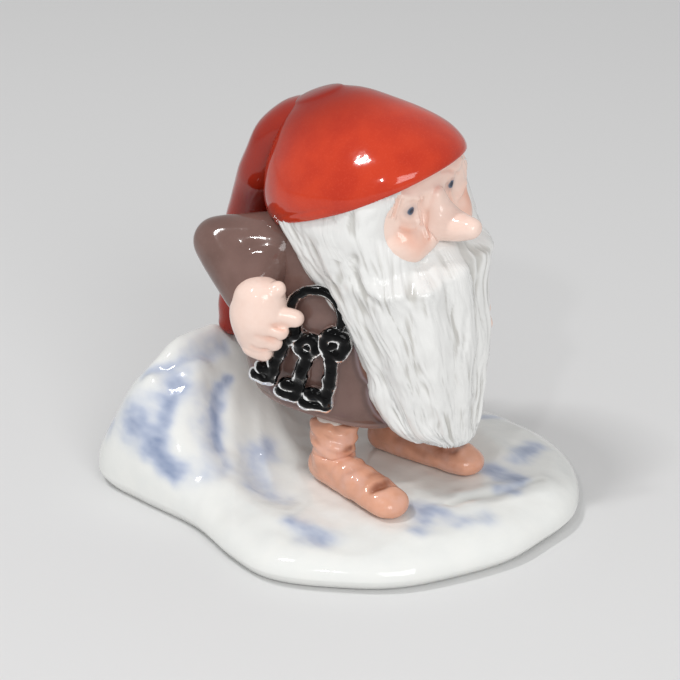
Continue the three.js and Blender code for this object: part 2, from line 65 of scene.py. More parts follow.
# Ridges and hollows: points seen from above, width and height
SNOW_FOLDS = [
    ([(-31, 54), (-10, 49)], 4, 1.5), ([(-20, 42), (-30, 31)], 3.6, 1.5),
    ([(-27, 46), (-35, 42)], 3, -1.4), ([(-24, 33), (-19, 39)], 3, -1.2),
    ([(-20, 27), (-26, 13)], 4.5, -1.1), ([(-31, 22), (-32, 4)], 4, 0.9),
    ([(24, -13), (31, 6)], 4, 1.1), ([(20, 32), (32, 14)], 4.5, 1.4),
    ([(3, 48), (14, 33)], 4, -1.3), ([(2, -17), (21, -27)], 3, 0.9),
    (SHOULDER_HOLLOW, 1.6, -1.0),
    ([(-18.7, 41.9), (-24.6, 40.7), (-28.1, 39.6), (-31, 36.9)], 2.0, 0.6),
    ([(-14.8, 39.5), (-18.8, 38.4), (-21.2, 36.7), (-25.3, 32.2)], 1.8, -0.6),
    ([(-8.4, 39.8), (-14.8, 36.6), (-20.4, 32.4), (-26.6, 25.9)], 2.4, 0.7),
    (EDGE_HOLLOW, 1.8, -0.6),
    (SMALL_HOLLOW, 2.0, -0.6),
    (FRONT_HOLLOW, 1.1, -0.45),
    ([(-2.5, -21.4), (5, -24.6), (13.5, -26.6), (18.2, -30.8)], 2.2, 0.35),
    ([(-20, -2), (-21, -14), (-13, -26), (0, -29)], 3.4, 0.5),
    ([(28, -24), (34, -18), (37, -8)], 2.6, 0.6),
    ([(-34, -2), (-30, -14)], 3, -0.5), ([(-5, 55), (-12, 61), (-22, 63)], 3, 0.8),
]
# Brushed cobalt: points seen from above, width and strength
SNOW_COBALT = [
    ([(-25.7, 43.1), (-29.5, 42.9), (-32, 42.1)], 1.5, 0.78),
    ([(-23.3, 43.7), (-26.7, 44.4), (-30.1, 44.6)], 2.6, 0.34),
    ([(-14.8, 39.5), (-18.8, 38.4), (-21.2, 36.7), (-22.5, 34.6), (-25.3, 32.2)], 1.3, 0.72),
    ([(-22.3, 38.4), (-26.7, 35.4), (-30, 31.6), (-32.9, 28.3)], 2.4, 0.34),
    ([(-33.6, 49.9), (-34.8, 51.1), (-36.1, 50.5)], 2.8, 0.46),
    ([(-35.5, 48.7), (-34.7, 44.8), (-34.3, 42.2)], 2.0, 0.66),
    (EDGE_HOLLOW, 2.0, 0.85),
    (SMALL_HOLLOW, 1.6, 0.42),
    ([(-18.2, 27.8), (-21.9, 24.2), (-22.6, 20.1)], 2.8, 0.4),
    ([(-14.3, 26.9), (-15.1, 25.8)], 2.0, 0.6),
    ([(-27.1, 20.3), (-26.3, 16.6), (-25.1, 11)], 2.0, 0.42),
    ([(-31.6, 1.8), (-32.2, -2.1), (-31.7, -6.4)], 2.2, 0.62),
    ([(-18.9, 47.4), (-9.5, 45.3)], 2.2, 0.28),
    (SHOULDER_HOLLOW, 1.2, 0.4),
    ([(16.1, -14.7), (15.9, -18.5), (16.1, -22)], 2.0, 0.78),
    ([(10.1, -21.5), (12.1, -24.1)], 1.6, 0.5),
    ([(23.5, -16.8), (27.7, -15.6), (32.9, -14.3)], 2.0, 0.62),
    ([(-8.4, -11.7), (-7.4, -15.1), (-6.5, -19.5)], 1.8, 0.42),
    ([(-8, -15.6), (-12.1, -18), (-16.1, -20.1)], 2.0, 0.5),
    ([(-7.1, -24.1), (-4.2, -25.9), (-0.8, -27.2)], 2.0, 0.45),
    ([(35.7, 4.8), (40.1, 2.7)], 1.2, 0.5),
    ([(22, 33), (30, 24), (34, 16)], 2.4, 0.45), ([(14, 48), (22, 40)], 2.2, 0.5),
    ([(3, 53), (9, 48), (13, 41)], 1.8, 0.55), ([(-20, 62), (-17, 63.5)], 2.2, 0.5),
    ([(-34, 58), (-30, 62)], 2.4, 0.45),
]
# Painted shade: the grey of deep hollows, and of the snow in the elf's shadow
SNOW_SHADE = [
    (SHOULDER_HOLLOW, 1.0, 0.5),
    (FRONT_HOLLOW, 0.7, 0.5),
    ([(-4, 18), (-2, 4), (2, -8)], 7, 0.55), ([(-17, 30), (-12, 22)], 4, 0.35),
    ([(18, 8), (20, -8)], 5, 0.3),
]


def along_curve(points, share, closed=False):
    """Places on the smooth line through the points, from 0 at its start to 1 at its end."""
    points = np.array(points, float)
    count = len(points)
    if closed:
        at = np.asarray(share) % 1 * count
        i = at.astype(int)
        before, a, b, after = (points[(i + k) % count] for k in (-1, 0, 1, 2))
    else:
        held = np.vstack([2 * points[:1] - points[1:2], points, 2 * points[-1:] - points[-2:-1]])
        at = np.clip(share, 0, 1) * (count - 1)
        i = np.minimum(at.astype(int), count - 2)
        before, a, b, after = (held[i + k] for k in range(4))
    t = (at - i)[..., None]
    leave, arrive = (b - before) / 2, (after - a) / 2
    return ((2 * t**3 - 3 * t**2 + 1) * a + (t**3 - 2 * t**2 + t) * leave
            + (3 * t**2 - 2 * t**3) * b + (t**3 - t**2) * arrive)


def ease(value, low, high):
    """A value's way from low to high, as a share from 0 to 1 with soft ends."""
    share = np.clip((value - low) / (high - low), 0, 1)
    return share * share * (3 - 2 * share)


def places(piece):
    """Where a piece's points are, one row each."""
    spots = np.zeros(len(piece.data.vertices) * 3)
    piece.data.vertices.foreach_get("co", spots)
    return spots.reshape(-1, 3)


def facing(piece):
    """Which way the surface faces at each of a piece's points."""
    ways = np.zeros(len(piece.data.vertices) * 3, np.float32)
    piece.data.vertex_normals.foreach_get("vector", ways)
    return ways.reshape(-1, 3).astype(float)


def put(piece, spots):
    piece.data.vertices.foreach_set("co", np.ascontiguousarray(spots, float).ravel())
    piece.data.update()


def near(spots, points, width):
    """How much of a stroke through the points falls on each spot, from 1 on its line to 0."""
    points = np.array(points, float)
    least = np.full(len(spots), np.inf)
    for start, end in zip(points[:-1], points[1:]):
        run = end - start
        share = np.clip((spots - start) @ run / (run @ run), 0, 1)
        least = np.minimum(least, ((spots - start - share[:, None] * run) ** 2).sum(1))
    return np.exp(-least / width**2)


def worked(spots, strokes):
    """How far strokes raise or hollow the surface at each spot: points, width and height."""
    return sum(near(spots, points, width) * height for points, width, height in strokes)


def brushed(spots, strokes):
    """How much pigment strokes leave at each spot: points, width and strength."""
    bare = np.ones(len(spots))
    for points, width, strength in strokes:
        bare *= 1 - strength * near(spots, points, width)
    return 1 - bare


def swell(piece, height):
    """Raises a piece's surface by a height at each of its points."""
    put(piece, places(piece) + facing(piece) * height[:, None])


def paint(piece, pigment, amounts):
    """Keeps an amount, or a place, at each of a piece's points, which its glaze reads."""
    amounts = np.ascontiguousarray(amounts, np.float32)
    kind, field = ("FLOAT_VECTOR", "vector") if amounts.ndim == 2 else ("FLOAT", "value")
    layer = piece.data.attributes.new(pigment, kind, "POINT")
    layer.data.foreach_set(field, amounts.ravel())


def grain(spots, scale, seed=0.0):
    """Soft unevenness of the hand-worked clay, from about -1 to 1, at scale waves per mm."""
    return np.array([noise.noise(Vector(spot)) for spot in spots * scale + seed])


def apply(piece, kind, **settings):
    """Adds a modifier to a piece and applies it."""
    bpy.ops.object.select_all(action="DESELECT")
    bpy.context.view_layer.objects.active = piece
    piece.select_set(True)
    modifier = piece.modifiers.new(kind.title(), kind)
    for name, value in settings.items():
        setattr(modifier, name, value)
    bpy.ops.object.modifier_apply(modifier=modifier.name)


def tint(red, green, blue):
    """A colour as the eye reads it, from 0 to 255, for a shader socket."""
    linear = [c / 12.92 if c <= 0.04045 else ((c + 0.055) / 1.055) ** 2.4
              for c in (red / 255, green / 255, blue / 255)]
    return (*linear, 1.0)


class Amount:
    """A number in a glaze's recipe. Sums on it add Math nodes to the recipe."""

    def __init__(self, glaze, socket):
        self.glaze, self.socket = glaze, socket

    def sum(self, operation, first, second):
        return self.glaze.node("ShaderNodeMath", {"operation": operation}, {0: first, 1: second})

    def __add__(self, other):
        return self.sum("ADD", self, other)

    def __radd__(self, other):
        return self.sum("ADD", other, self)

    def __sub__(self, other):
        return self.sum("SUBTRACT", self, other)

    def __rsub__(self, other):
        return self.sum("SUBTRACT", other, self)

    def __mul__(self, other):
        return self.sum("MULTIPLY", self, other)

    def __rmul__(self, other):
        return self.sum("MULTIPLY", other, self)


class Glaze:
    """A glaze's recipe: a material's nodes, with the spot on the piece in metres."""

    def __init__(self, name, roughness=0.09, ior=1.5):
        self.material = bpy.data.materials.new(name)
        self.material.use_nodes = True
        self.tree = self.material.node_tree
        self.surface = self.tree.nodes["Principled BSDF"]
        self.surface.inputs["Roughness"].default_value = roughness
        self.surface.inputs["IOR"].default_value = ior
        self.spot = self.node("ShaderNodeTexCoord", output="Object")

    def node(self, kind, settings=None, sockets=None, output=0):
        """Adds a node: its settings first, then the values or links of its sockets."""
        made = self.tree.nodes.new(kind)
        for name, value in (settings or {}).items():
            setattr(made, name, value)
        for name, value in (sockets or {}).items():
            if isinstance(value, Amount):
                self.tree.links.new(value.socket, made.inputs[name])
            else:
                made.inputs[name].default_value = value
        return Amount(self, made.outputs[output])

    def pigment(self, name):
        """How much of a brushed pigment lies at the spot."""
        return self.node("ShaderNodeAttribute", {"attribute_name": name}, output="Fac")

    def cloud(self, size, detail=2.0, stretch=(1, 1, 1), seed=0.0, spot=None):
        """Soft unevenness from 0 to 1, with waves of a size in millimetres."""
        moved = self.node("ShaderNodeMapping", sockets={
            "Vector": spot or self.spot, "Scale": stretch, "Location": (seed, seed, seed)})
        return self.node("ShaderNodeTexNoise", sockets={
            "Vector": moved, "Scale": 1 / (size * MM), "Detail": detail})

    def ramp(self, amount, low, high):
        """An amount stretched from low and high to 0 and 1, with soft ends."""
        return self.node("ShaderNodeMapRange", {"interpolation_type": "SMOOTHSTEP"}, {
            "Value": amount, "From Min": low, "From Max": high})

    def blend(self, share, first, second):
        """One colour laid over another by a share."""
        return self.node("ShaderNodeMix", {"data_type": "RGBA"}, {
            0: share, 6: first, 7: second}, output=2)

    def colour(self, colour):
        self.tree.links.new(colour.socket, self.surface.inputs["Base Color"])

    def rough(self, roughness):
        self.tree.links.new(roughness.socket, self.surface.inputs["Roughness"])

    def relief(self, height, depth):
        """Bump from a height of 0 to 1, as deep as depth in millimetres."""
        bump = self.node("ShaderNodeBump", sockets={
            "Height": height, "Distance": depth * MM}, output="Normal")
        self.tree.links.new(bump.socket, self.surface.inputs["Normal"])


def fire(piece, glaze, slot, *nodes):
    """Sets a finished piece into the frame with its glaze, in place of its CAD nodes."""
    piece.data.transform(Matrix.Scale(MM, 4) @ Matrix.Translation(-FIGURE_MIDDLE))
    piece.data.materials.clear()
    piece.data.materials.append(glaze.material)
    for face in piece.data.polygons:
        face.use_smooth = True
    piece.data.update()
    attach(piece, "root")
    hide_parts(*nodes)


def snow_height(spots):
    """How high the snow's top is over the table, at spots seen from above."""
    away = (spots - DRIFT_PLACE) / DRIFT_SPREAD
    return SNOW_THICK + DRIFT_RISE * np.exp(-(away**2).sum(1)) + worked(spots, SNOW_FOLDS)


def on_snow(strokes, top):
    """Strokes drawn from above, laid on the spots of the snow's top."""
    for points, width, strength in strokes:
        nearest = [((top[:, :2] - point) ** 2).sum(1).argmin() for point in points]
        yield top[nearest], width, strength


# The ball's upper rings become the top of the bank, and its last ones the foot rim and recess
SNOW_AROUND, TOP_RINGS = 400, 120
RING_CROWDING, EDGE_FALL = 1.8, 9
# Uneven surface of the snow: height in mm, waves per mm and seed
SNOW_UNEVEN = [(0.35, 0.1, 0), (0.2, 0.24, 7)]
RIDGE_HEIGHT, RIDGE_CREST, RIDGE_WAVES = 1.5, 0.45, 0.14
RIDGES_BACK, RIDGES_RIGHT = (2, 26), (-14, 4)
# How far the cobalt runs in the glaze, how much it spreads and how much it thins
COBALT_RUN, COBALT_SPREAD, COBALT_THIN = 1.1, 1.55, 0.92
UNDERSIDE = np.array([(0.966, 0.75), (0.932, 0), (0.773, 0), (0.743, 2.2), (0, 2.2)])
bpy.ops.object.select_all(action="DESELECT")
bpy.ops.mesh.primitive_uv_sphere_add(
    segments=SNOW_AROUND, ring_count=TOP_RINGS + len(UNDERSIDE), radius=1)
snow = bpy.context.object
snow.name = "snow_bank"
spots = places(snow)
ring = np.rint(np.arccos(np.clip(spots[:, 2], -1, 1)) / math.pi * (TOP_RINGS + len(UNDERSIDE)))
turn = np.rint(np.arctan2(spots[:, 1], spots[:, 0]) / (2 * math.pi) * SNOW_AROUND) / SNOW_AROUND
edge = along_curve(SNOW_OUTLINE, -turn, closed=True) * (SNOW_WIDTH / 2, SNOW_LENGTH / 2)
below = np.clip(ring - TOP_RINGS - 1, 0, len(UNDERSIDE) - 1).astype(int)
is_top = ring <= TOP_RINGS
out = np.where(
    is_top, 1 - (1 - np.minimum(ring / TOP_RINGS, 1)) ** RING_CROWDING, UNDERSIDE[below, 0])
spots[:, :2] = edge * out[:, None] + (0, SNOW_BACK)
fall = np.sqrt(1 - np.minimum(out, 1) ** EDGE_FALL)
top = SNOW_EDGE_ROUND + (snow_height(spots[:, :2]) - SNOW_EDGE_ROUND) * fall
bank = spots * (1, 1, 0)
ridge = RIDGE_CREST - np.abs(grain(
    np.c_[bank @ (0.8, -0.6, 0), bank @ (0.25, 0.33, 0), bank[:, 2]], RIDGE_WAVES, 4))
uneven = sum(height * grain(bank, waves, seed) for height, waves, seed in SNOW_UNEVEN)
top += fall * (uneven + RIDGE_HEIGHT * ridge * ease(bank[:, 1], *RIDGES_BACK)
               * (1 - ease(bank[:, 0], *RIDGES_RIGHT)))
spots[:, 2] = np.where(is_top, top, UNDERSIDE[below, 1])
put(snow, spots)
bpy.ops.object.mode_set(mode="EDIT")
bpy.ops.mesh.select_all(action="SELECT")
bpy.ops.mesh.normals_make_consistent(inside=False)
bpy.ops.object.mode_set(mode="OBJECT")
# The strokes run and blur in the glaze as it melts
run = np.c_[grain(spots, 0.16, 2), grain(spots, 0.16, 6), grain(spots, 0.3, 9)] * COBALT_RUN
cobalt_strokes = [(points, width * COBALT_SPREAD, amount * COBALT_THIN)
                  for points, width, amount in SNOW_COBALT]
paint(snow, "cobalt", brushed(spots + run, on_snow(cobalt_strokes, spots[is_top])))
paint(snow, "shade", brushed(spots, on_snow(SNOW_SHADE, spots[is_top])))

snow_glaze = Glaze("snow_glaze")
wash = snow_glaze.cloud(6, 2)
bristles = snow_glaze.cloud(2.6, 1.5, (1, 0.5, 1), seed=3)
cobalt = snow_glaze.pigment("cobalt") * (0.4 + 1.1 * bristles) + 0.16 * (wash - 0.5)
white = snow_glaze.blend(wash, tint(240, 240, 236), tint(231, 233, 231))
# Painted shade greys the white where the shade strokes lie
white = snow_glaze.blend(snow_glaze.pigment("shade") * 0.8, white, tint(206, 207, 202))
pale = snow_glaze.blend(snow_glaze.ramp(cobalt, 0.02, 0.6), white, tint(188, 197, 216))
snow_glaze.colour(snow_glaze.blend(snow_glaze.ramp(cobalt, 0.35, 1.1), pale, tint(118, 135, 170)))
snow_glaze.rough(0.06 + 0.05 * snow_glaze.cloud(3, 3))
snow_glaze.relief(snow_glaze.cloud(5, 2) + 0.08 * bristles, 0.16)
fire(snow, snow_glaze, "snow_glaze", "snow_base")


# Boots
# Two soft leather boots, cast solid in porcelain and luted to the snow. They are painted in a
# thin tan-orange, with brown in the creases over the toes and at the ankles.
# The brown in the creases, along the soles and on the far boot's inner side is partly painted shade.

SOLE = 9
FEET = [("right", -1, -13.5), ("left", 1, 9.9)]
TOES_OUT = 8.5
BOOT_LENGTH, BOOT_WIDTH, BOOT_HEIGHT = 30, 10, 8
ANKLE_BACK, SHAFT_HEIGHT, SHAFT_WIDTH = 8.4, 8.2, 10
BOOT_LINE = [
    (0.38, 1, 0.88, 1.05), (0.15, 1, 0.92, 1.15), (-0.12, 0.88, 0.97, 0.98), (-0.34, 0.72, 1, 0.8),
]
# Creases and folds in the leather, on the right boot
BOOT_CREASES = [
    ([(-2.6, -8.2, 5.9), (-0.4, -8.9, 6.4), (2.2, -8.6, 6)], 1.0, -0.55),
    ([(-3.4, -9.6, 5.2), (-1, -10.6, 6), (2, -10.4, 5.8)], 1.3, 0.35),
    ([(-3, -6.6, 6), (0, -7, 6.8), (3, -6.6, 6)], 0.9, 0.25),
    ([(-4.4, -3.2, 5), (-1.5, -4, 7), (2, -3.6, 7)], 1.2, -0.22),
    ([(-3.2, 7.4, 8.4), (-0.6, 6.6, 8.6), (1.6, 5.2, 8.6)], 0.9, -0.45),
    ([(-4.8, 6.5, 6), (-4.9, 2.5, 5), (-4.7, -1.5, 4)], 1.2, -0.25),
    ([(-3.6, 3, 7), (-3.6, -2, 6.4)], 1.2, 0.2),
]
# Brown on the right boot, partly painted shade in its creases and along its sole
BOOT_BROWN = [
    ([(-2.6, -8.2, 5.9), (-0.4, -8.9, 6.4)], 1.2, 0.55),
    ([(-0.6, -8.6, 6.4), (2.6, -7.8, 6.3)], 1.7, 0.6), ([(-0.6, -4.6, 7), (1.8, -4.2, 7)], 1.2, 0.35),
    ([(-3, -0.8, 6.8), (-0.6, -1.6, 7.4)], 1.2, 0.3), ([(2.6, -6, 6), (3.6, -1, 6)], 1.3, 0.35),
    ([(-2.9, 7.3, 8.6), (-1.8, 7.2, 8.7)], 0.75, 0.9), ([(-1.2, 7.1, 8.7), (1.2, 5.4, 8.7)], 0.8, 0.5),
    ([(3.6, 4, 7.4), (3.2, 0, 7)], 1.2, 0.35), ([(4.6, -4, 5), (4.8, -12, 3)], 1.4, 0.4),
    ([(-4.8, 12, 0.8), (-5, 0, 0.5), (-4.6, -12, 0.5)], 0.8, 0.3),
]
# Slack folds over the instep and round the ankle, on the right boot
BOOT_SLACK = [
    ([(-3.6, 3.2, 7.4), (-0.4, 1.6, 8.2), (3.4, 2.4, 7.2)], 1.1, 0.25),
    ([(-4.2, 1.4, 6.2), (-0.6, 0, 7.4), (3.2, 0.8, 6.6)], 0.9, -0.2),
    ([(-4, -0.6, 6), (-0.8, -2, 7.2), (3, -1, 6.6)], 1.1, 0.2),
    ([(-4.6, 9, 4.6), (-4.9, 5, 4), (-5, 0, 3)], 1.1, -0.3), ([(-4.8, 8, 7), (-4.8, 4, 6)], 1.2, 0.3),
]


def cast(name, stations, ends, around, along, side=(1, 0, 0), level=False, domes=3, fine=1):
    """A closed round form: a ball whose rings are set out on a smooth line of stations.

    Each station is x, y, z, half width, half depth, and may add how square the ring is, where 2
    is an ellipse. The ends are domes of two lengths. A level form keeps its rings flat.
    """
    stations = [tuple(s) + (2,) * (6 - len(s)) for s in stations]
    rows = along + 2 * domes
    bpy.ops.object.select_all(action="DESELECT")
    bpy.ops.mesh.primitive_uv_sphere_add(segments=around, ring_count=rows, radius=1)
    piece = bpy.context.object
    piece.name = name
    bpy.ops.object.mode_set(mode="EDIT")
    mesh = bmesh.from_edit_mesh(piece.data)
    rings = [[] for _ in range(rows + 1)]
    for point in mesh.verts:
        rings[round(math.acos(max(-1, min(1, -point.co.z))) / math.pi * rows)].append(point)
    for row, ring in enumerate(rings):
        share = min(max((row - domes) / along, 0), 1)
        below = max(0, domes - row) / domes * math.pi / 2
        above = max(0, row - domes - along) / domes * math.pi / 2
        x, y, z, wide, deep, square = along_curve(stations, share)
        heading = Vector((0, 0, 1)) if level else Vector(
            (along_curve(stations, share + MM) - along_curve(stations, share - MM))[:3]).normalized()
        narrow = math.cos(below + above)
        radius, height = math.sin(math.pi * row / rows), -math.cos(math.pi * row / rows)
        bpy.ops.mesh.select_all(action="DESELECT")
        for point in ring:
            point.select = True
            if square != 2 and 0 < row < rows:
                point.co.x, point.co.y = (
                    radius * math.copysign(abs(c / radius) ** (2 / square), c) for c in point.co.xy)
        middle = (0, 0, height)
        if 0 < row < rows:
            bpy.ops.transform.resize(
                value=(wide * narrow / radius, deep * narrow / radius, 1), center_override=middle)
            if not level:
                across = (Vector(side) - heading * Vector(side).dot(heading)).normalized()
                frame_of_ring = Matrix((across, heading.cross(across), heading)).transposed()
                for axis, angle in zip("XYZ", frame_of_ring.to_euler("XYZ")):
                    bpy.ops.transform.rotate(value=-angle, orient_axis=axis, center_override=middle)
        end = heading * (ends[1] * math.sin(above) - ends[0] * math.sin(below))
        bpy.ops.transform.translate(value=(x + end.x, y + end.y, z + end.z - height))
    bpy.ops.object.mode_set(mode="OBJECT")
    if fine:
        apply(piece, "SUBSURF", levels=fine, render_levels=fine)
    return piece


def bar(name, start, end, thick, thin, around=12):
    """A rounded bar between two points, thick at its start and thin at its end."""
    return cast(name, [(*start, thick / 2, thick / 2), (*end, thin / 2, thin / 2)],
                (thick / 2, thin / 2), around, 2, side=(0.2, 0.3, 1))


def lute(name, parts, grid, smoothing):
    """Joins parts into one skin on a fine grid, and smooths the joins as with a wet brush."""
    bpy.ops.object.select_all(action="DESELECT")
    for part in parts:
        part.select_set(True)
    bpy.context.view_layer.objects.active = parts[0]
    bpy.ops.object.join()
    whole = bpy.context.object
    whole.name = name
    apply(whole, "REMESH", mode="VOXEL", voxel_size=grid)
    apply(whole, "SMOOTH", factor=0.5, iterations=smoothing)
    return whole


def place(x=0, y=0, z=0, turn_x=0, turn_y=0, turn_z=0):
    """A place with turns in degrees, about X first."""
    turned = (Matrix.Rotation(math.radians(turn_z), 4, "Z")
              @ Matrix.Rotation(math.radians(turn_y), 4, "Y")
              @ Matrix.Rotation(math.radians(turn_x), 4, "X"))
    return Matrix.Translation((x, y, z)) @ turned


def mirrored(strokes):
    return [([(-x, y, z) for x, y, z in points], width, height) for points, width, height in strokes]


boot_glaze = Glaze("boot_glaze")
mottle = boot_glaze.cloud(2.4, 4, seed=3)
tan = boot_glaze.blend(mottle, tint(232, 176, 150), tint(214, 152, 122))
tan = boot_glaze.blend(boot_glaze.ramp(boot_glaze.cloud(4.5, 2, seed=9), 0.45, 0.75) * 0.5,
                       tan, tint(224, 180, 166))
# Brown where the pigment lies, partly the boot's own colour and partly painted shade
brown_and_shade = boot_glaze.ramp(boot_glaze.pigment("brown") * (0.6 + 0.8 * mottle), 0.08, 0.85)
boot_glaze.colour(boot_glaze.blend(brown_and_shade, tan, tint(142, 84, 60)))
boot_glaze.rough(0.08 + 0.06 * boot_glaze.cloud(2, 2))
boot_glaze.relief(boot_glaze.cloud(2.5, 3), 0.14)

feet = {}
for side_name, outward, across in FEET:
    foot = cast(f"{side_name}_foot", [
        (0, back * BOOT_LENGTH, up * BOOT_HEIGHT / 2, wide * BOOT_WIDTH / 2, tall * BOOT_HEIGHT / 2)
        for back, up, wide, tall in BOOT_LINE
    ], (BOOT_LENGTH * 0.12, BOOT_LENGTH * 0.16), 24, 8, domes=5)
    shaft = cast(f"{side_name}_shaft", [
        (0, ANKLE_BACK, BOOT_HEIGHT / 2, SHAFT_WIDTH / 2, SHAFT_WIDTH / 2),
        (0, ANKLE_BACK, SHAFT_HEIGHT, SHAFT_WIDTH / 2, SHAFT_WIDTH / 2),
    ], (1.2, 0.6), 24, 4, level=True)
    boot = lute(f"{side_name}_boot_cast", [foot, shaft], 0.3, 10)
    spots = places(boot)
    creased = BOOT_CREASES + BOOT_SLACK
    swell(boot, worked(spots, creased if outward < 0 else mirrored(creased))
          + 0.2 * grain(spots, 0.3, across))
    # The far boot shows more brown, along its inner side and over the toes, as painted shade
    browns = BOOT_BROWN if outward < 0 else BOOT_BROWN[4:] + mirrored(BOOT_BROWN) + [
        ([(-3.6, -6, 6), (-2.6, -9.1, 5.8)], 1.6, 0.75), ([(-4.6, 5, 6), (-4.6, -2, 4)], 1.4, 0.45)]
    paint(boot, "brown", brushed(places(boot), browns) * (1 if outward < 0 else 0.7))
    feet[side_name] = place(across, 0, SOLE, turn_z=outward * TOES_OUT)
    boot.data.transform(feet[side_name])
    fire(boot, boot_glaze, "boot_glaze", f"{side_name}_boot")


# Stockings and boot cuffs
# A pale stocking shows between each boot and the coat. The soft top of the boot is folded over
# it in a crumpled roll, in the colour of the boot.
# Brown is painted into the hollows of the roll as shade.

STOCKING_WIDTH, STOCKING_LEAN, STOCKING_TOP = 8, 3, 17.5
CUFF_HEIGHT, CUFF_WIDTH, CUFF_LEAN = 6.6, 11.2, 1.6
CUFF_LINE = [(0, 0.86), (0.2, 0.93), (0.4, 1), (0.6, 0.96), (0.84, 1.02), (1, 0.97)]

stocking_glaze = Glaze("stocking_glaze")
knit = stocking_glaze.cloud(1.4, 3, (1, 1, 0.4))
stocking_glaze.colour(stocking_glaze.blend(knit, tint(236, 228, 220), tint(212, 200, 190)))
stocking_glaze.rough(0.1 + 0.05 * stocking_glaze.cloud(2, 2))
stocking_glaze.relief(knit, 0.1)

for side_name, outward, _ in FEET:
    half = STOCKING_WIDTH / 2
    stocking = cast(f"{side_name}_stocking_cast", [
        (0, ANKLE_BACK, SHAFT_HEIGHT + 0.9, half, half),
        (-outward * STOCKING_LEAN, ANKLE_BACK + STOCKING_LEAN, STOCKING_TOP, half, half),
    ], (0.9, 1.2), 32, 8, fine=2)
    swell(stocking, 0.25 * grain(places(stocking), 0.4, 5))
    stocking.data.transform(feet[side_name])
    fire(stocking, stocking_glaze, "stocking_glaze", f"{side_name}_stocking")

    half = CUFF_WIDTH / 2
    cuff = cast(f"{side_name}_cuff_cast", [
        (-outward * up * CUFF_LEAN, ANKLE_BACK + up * CUFF_LEAN, SHAFT_HEIGHT + up * CUFF_HEIGHT,
         wide * half, wide * half)
        for up, wide in CUFF_LINE
    ], (0.8, 0.8), 64, 14, level=True)
    spots = places(cuff)
    turn = np.arctan2(spots[:, 1] - ANKLE_BACK, spots[:, 0])
    crumple = 0.26 * np.sin(3 * turn + 0.7 * spots[:, 2]) * np.sin(1.5 * spots[:, 2] + turn)
    swell(cuff, crumple + 0.25 * grain(spots, 0.4, 2) - 0.15)
    ankle_spot = [([(-outward * 0.8, 3, 10.4), (outward * 1.4, 2.8, 10.3)], 1.0, 0.9)]
    # Painted shade: brown in the hollows of the crumpled roll, and a brown spot at the ankle
    paint(cuff, "brown", np.clip(-1.6 * crumple - 0.1, 0, 0.4) + brushed(spots, ankle_spot))
    cuff.data.transform(feet[side_name])
    fire(cuff, boot_glaze, "boot_glaze", f"{side_name}_boot_cuff")


# Coat
# The body in its long closed coat, slip-cast in one mould and painted an even grey-brown. The
# front edge runs down beside the beard as a thin raised seam, and the hem rises to the back.
# A painted reflection lies along the seam, and painted shade in the groove beside it.

HEM, HEM_RISE, COAT_HEIGHT, COAT_WIDTH, COAT_DEPTH = 23.5, 3, 48, 39, 46
COAT_BACK, COAT_LEAN = 15.5, 3.5
COAT_LINE = [
    (0, 0.5, 0.9, 0.9), (0.08, 0.65, 0.95, 0.95), (0.25, 0.85, 1, 1), (0.45, 0.6, 0.97, 0.9),
    (0.64, 0.75, 0.93, 0.83), (0.8, 1, 0.85, 0.75), (0.92, 1, 0.72, 0.63), (1, 0.8, 0.52, 0.48),
]
COAT_SEAM = [
    (-12.6, 2, 46), (-12.3, 1.6, 43), (-12.2, 1.1, 40.4), (-11.7, 0.4, 38), (-10.6, -0.7, 36),
    (-10.9, -0.5, 34.1), (-10.3, -0.7, 31.2), (-9, -1.2, 28.4), (-6.9, -2.2, 25.8), (-4, -3.2, 24.2),
]
# Paint laid over the body: pigment, strength and colour. The pale colour on the seam is a painted
# reflection, and the dark beside it painted shade
COAT_PAINTS = [("hem", 0.5, (152, 124, 116)), ("warm", 0.65, (176, 122, 98)),
               ("seam_shade", 0.7, (84, 66, 66)), ("thin", 0.75, (156, 140, 148))]
# The groove over the hem band: height over the hem, width and depth
GROOVE_UP, GROOVE_WIDTH, GROOVE_DEPTH = 1.6, 0.35, 0.08
# Slow waves round the skirt: their number, height, place over the hem and reach up and down
SKIRT_WAVES, WAVE_HEIGHT, WAVE_UP, WAVE_REACH = 3, 0.3, 6, 12


def band(values, middle, width):
    """How much of a soft band falls on each value, from 1 at its middle to 0."""
    return np.exp(-((values - middle) / width) ** 2)


coat = cast("coat_cast", [
    (0, COAT_BACK + lean * COAT_LEAN, HEM + up * COAT_HEIGHT, wide * COAT_WIDTH / 2,
     deep * COAT_DEPTH / 2) for up, lean, wide, deep in COAT_LINE
], (1.2, 3), 80, 34, level=True, fine=2)
spots = places(coat)
spots[:, 2] += HEM_RISE * (1 - np.clip((spots[:, 2] - HEM) / COAT_HEIGHT, 0, 1)) * ease(
    spots[:, 1], COAT_BACK - COAT_DEPTH / 2, COAT_BACK)
put(coat, spots)
hem = HEM + HEM_RISE * ease(spots[:, 1], COAT_BACK - COAT_DEPTH / 2, COAT_BACK)
rise = spots[:, 2] - hem
turn = np.arctan2(spots[:, 1] - COAT_BACK, spots[:, 0])
beside_seam = [(x - 0.85, y + 0.6, z) for x, y, z in COAT_SEAM]
swell(coat, worked(spots, [(COAT_SEAM, 0.42, 0.4), (beside_seam, 0.5, -0.16)])
      - GROOVE_DEPTH * band(rise, GROOVE_UP, GROOVE_WIDTH)
      + WAVE_HEIGHT * np.sin(SKIRT_WAVES * turn + 0.6) * band(rise, WAVE_UP, WAVE_REACH)
      + 0.12 * grain(spots, 0.15, 4) - 0.1)
# Painted reflection along the seam, and painted shade in the groove beside it
paint(coat, "thin", brushed(spots, [(COAT_SEAM, 0.34, 0.9)]))
paint(coat, "seam_shade", brushed(spots, [(beside_seam, 0.45, 0.5)]))
paint(coat, "warm", brushed(spots, [([(x + 1.1, y - 0.8, z) for x, y, z in COAT_SEAM], 1.0, 0.8)]))
paint(coat, "hem", 1 - ease(rise, 1.2, 1.6))

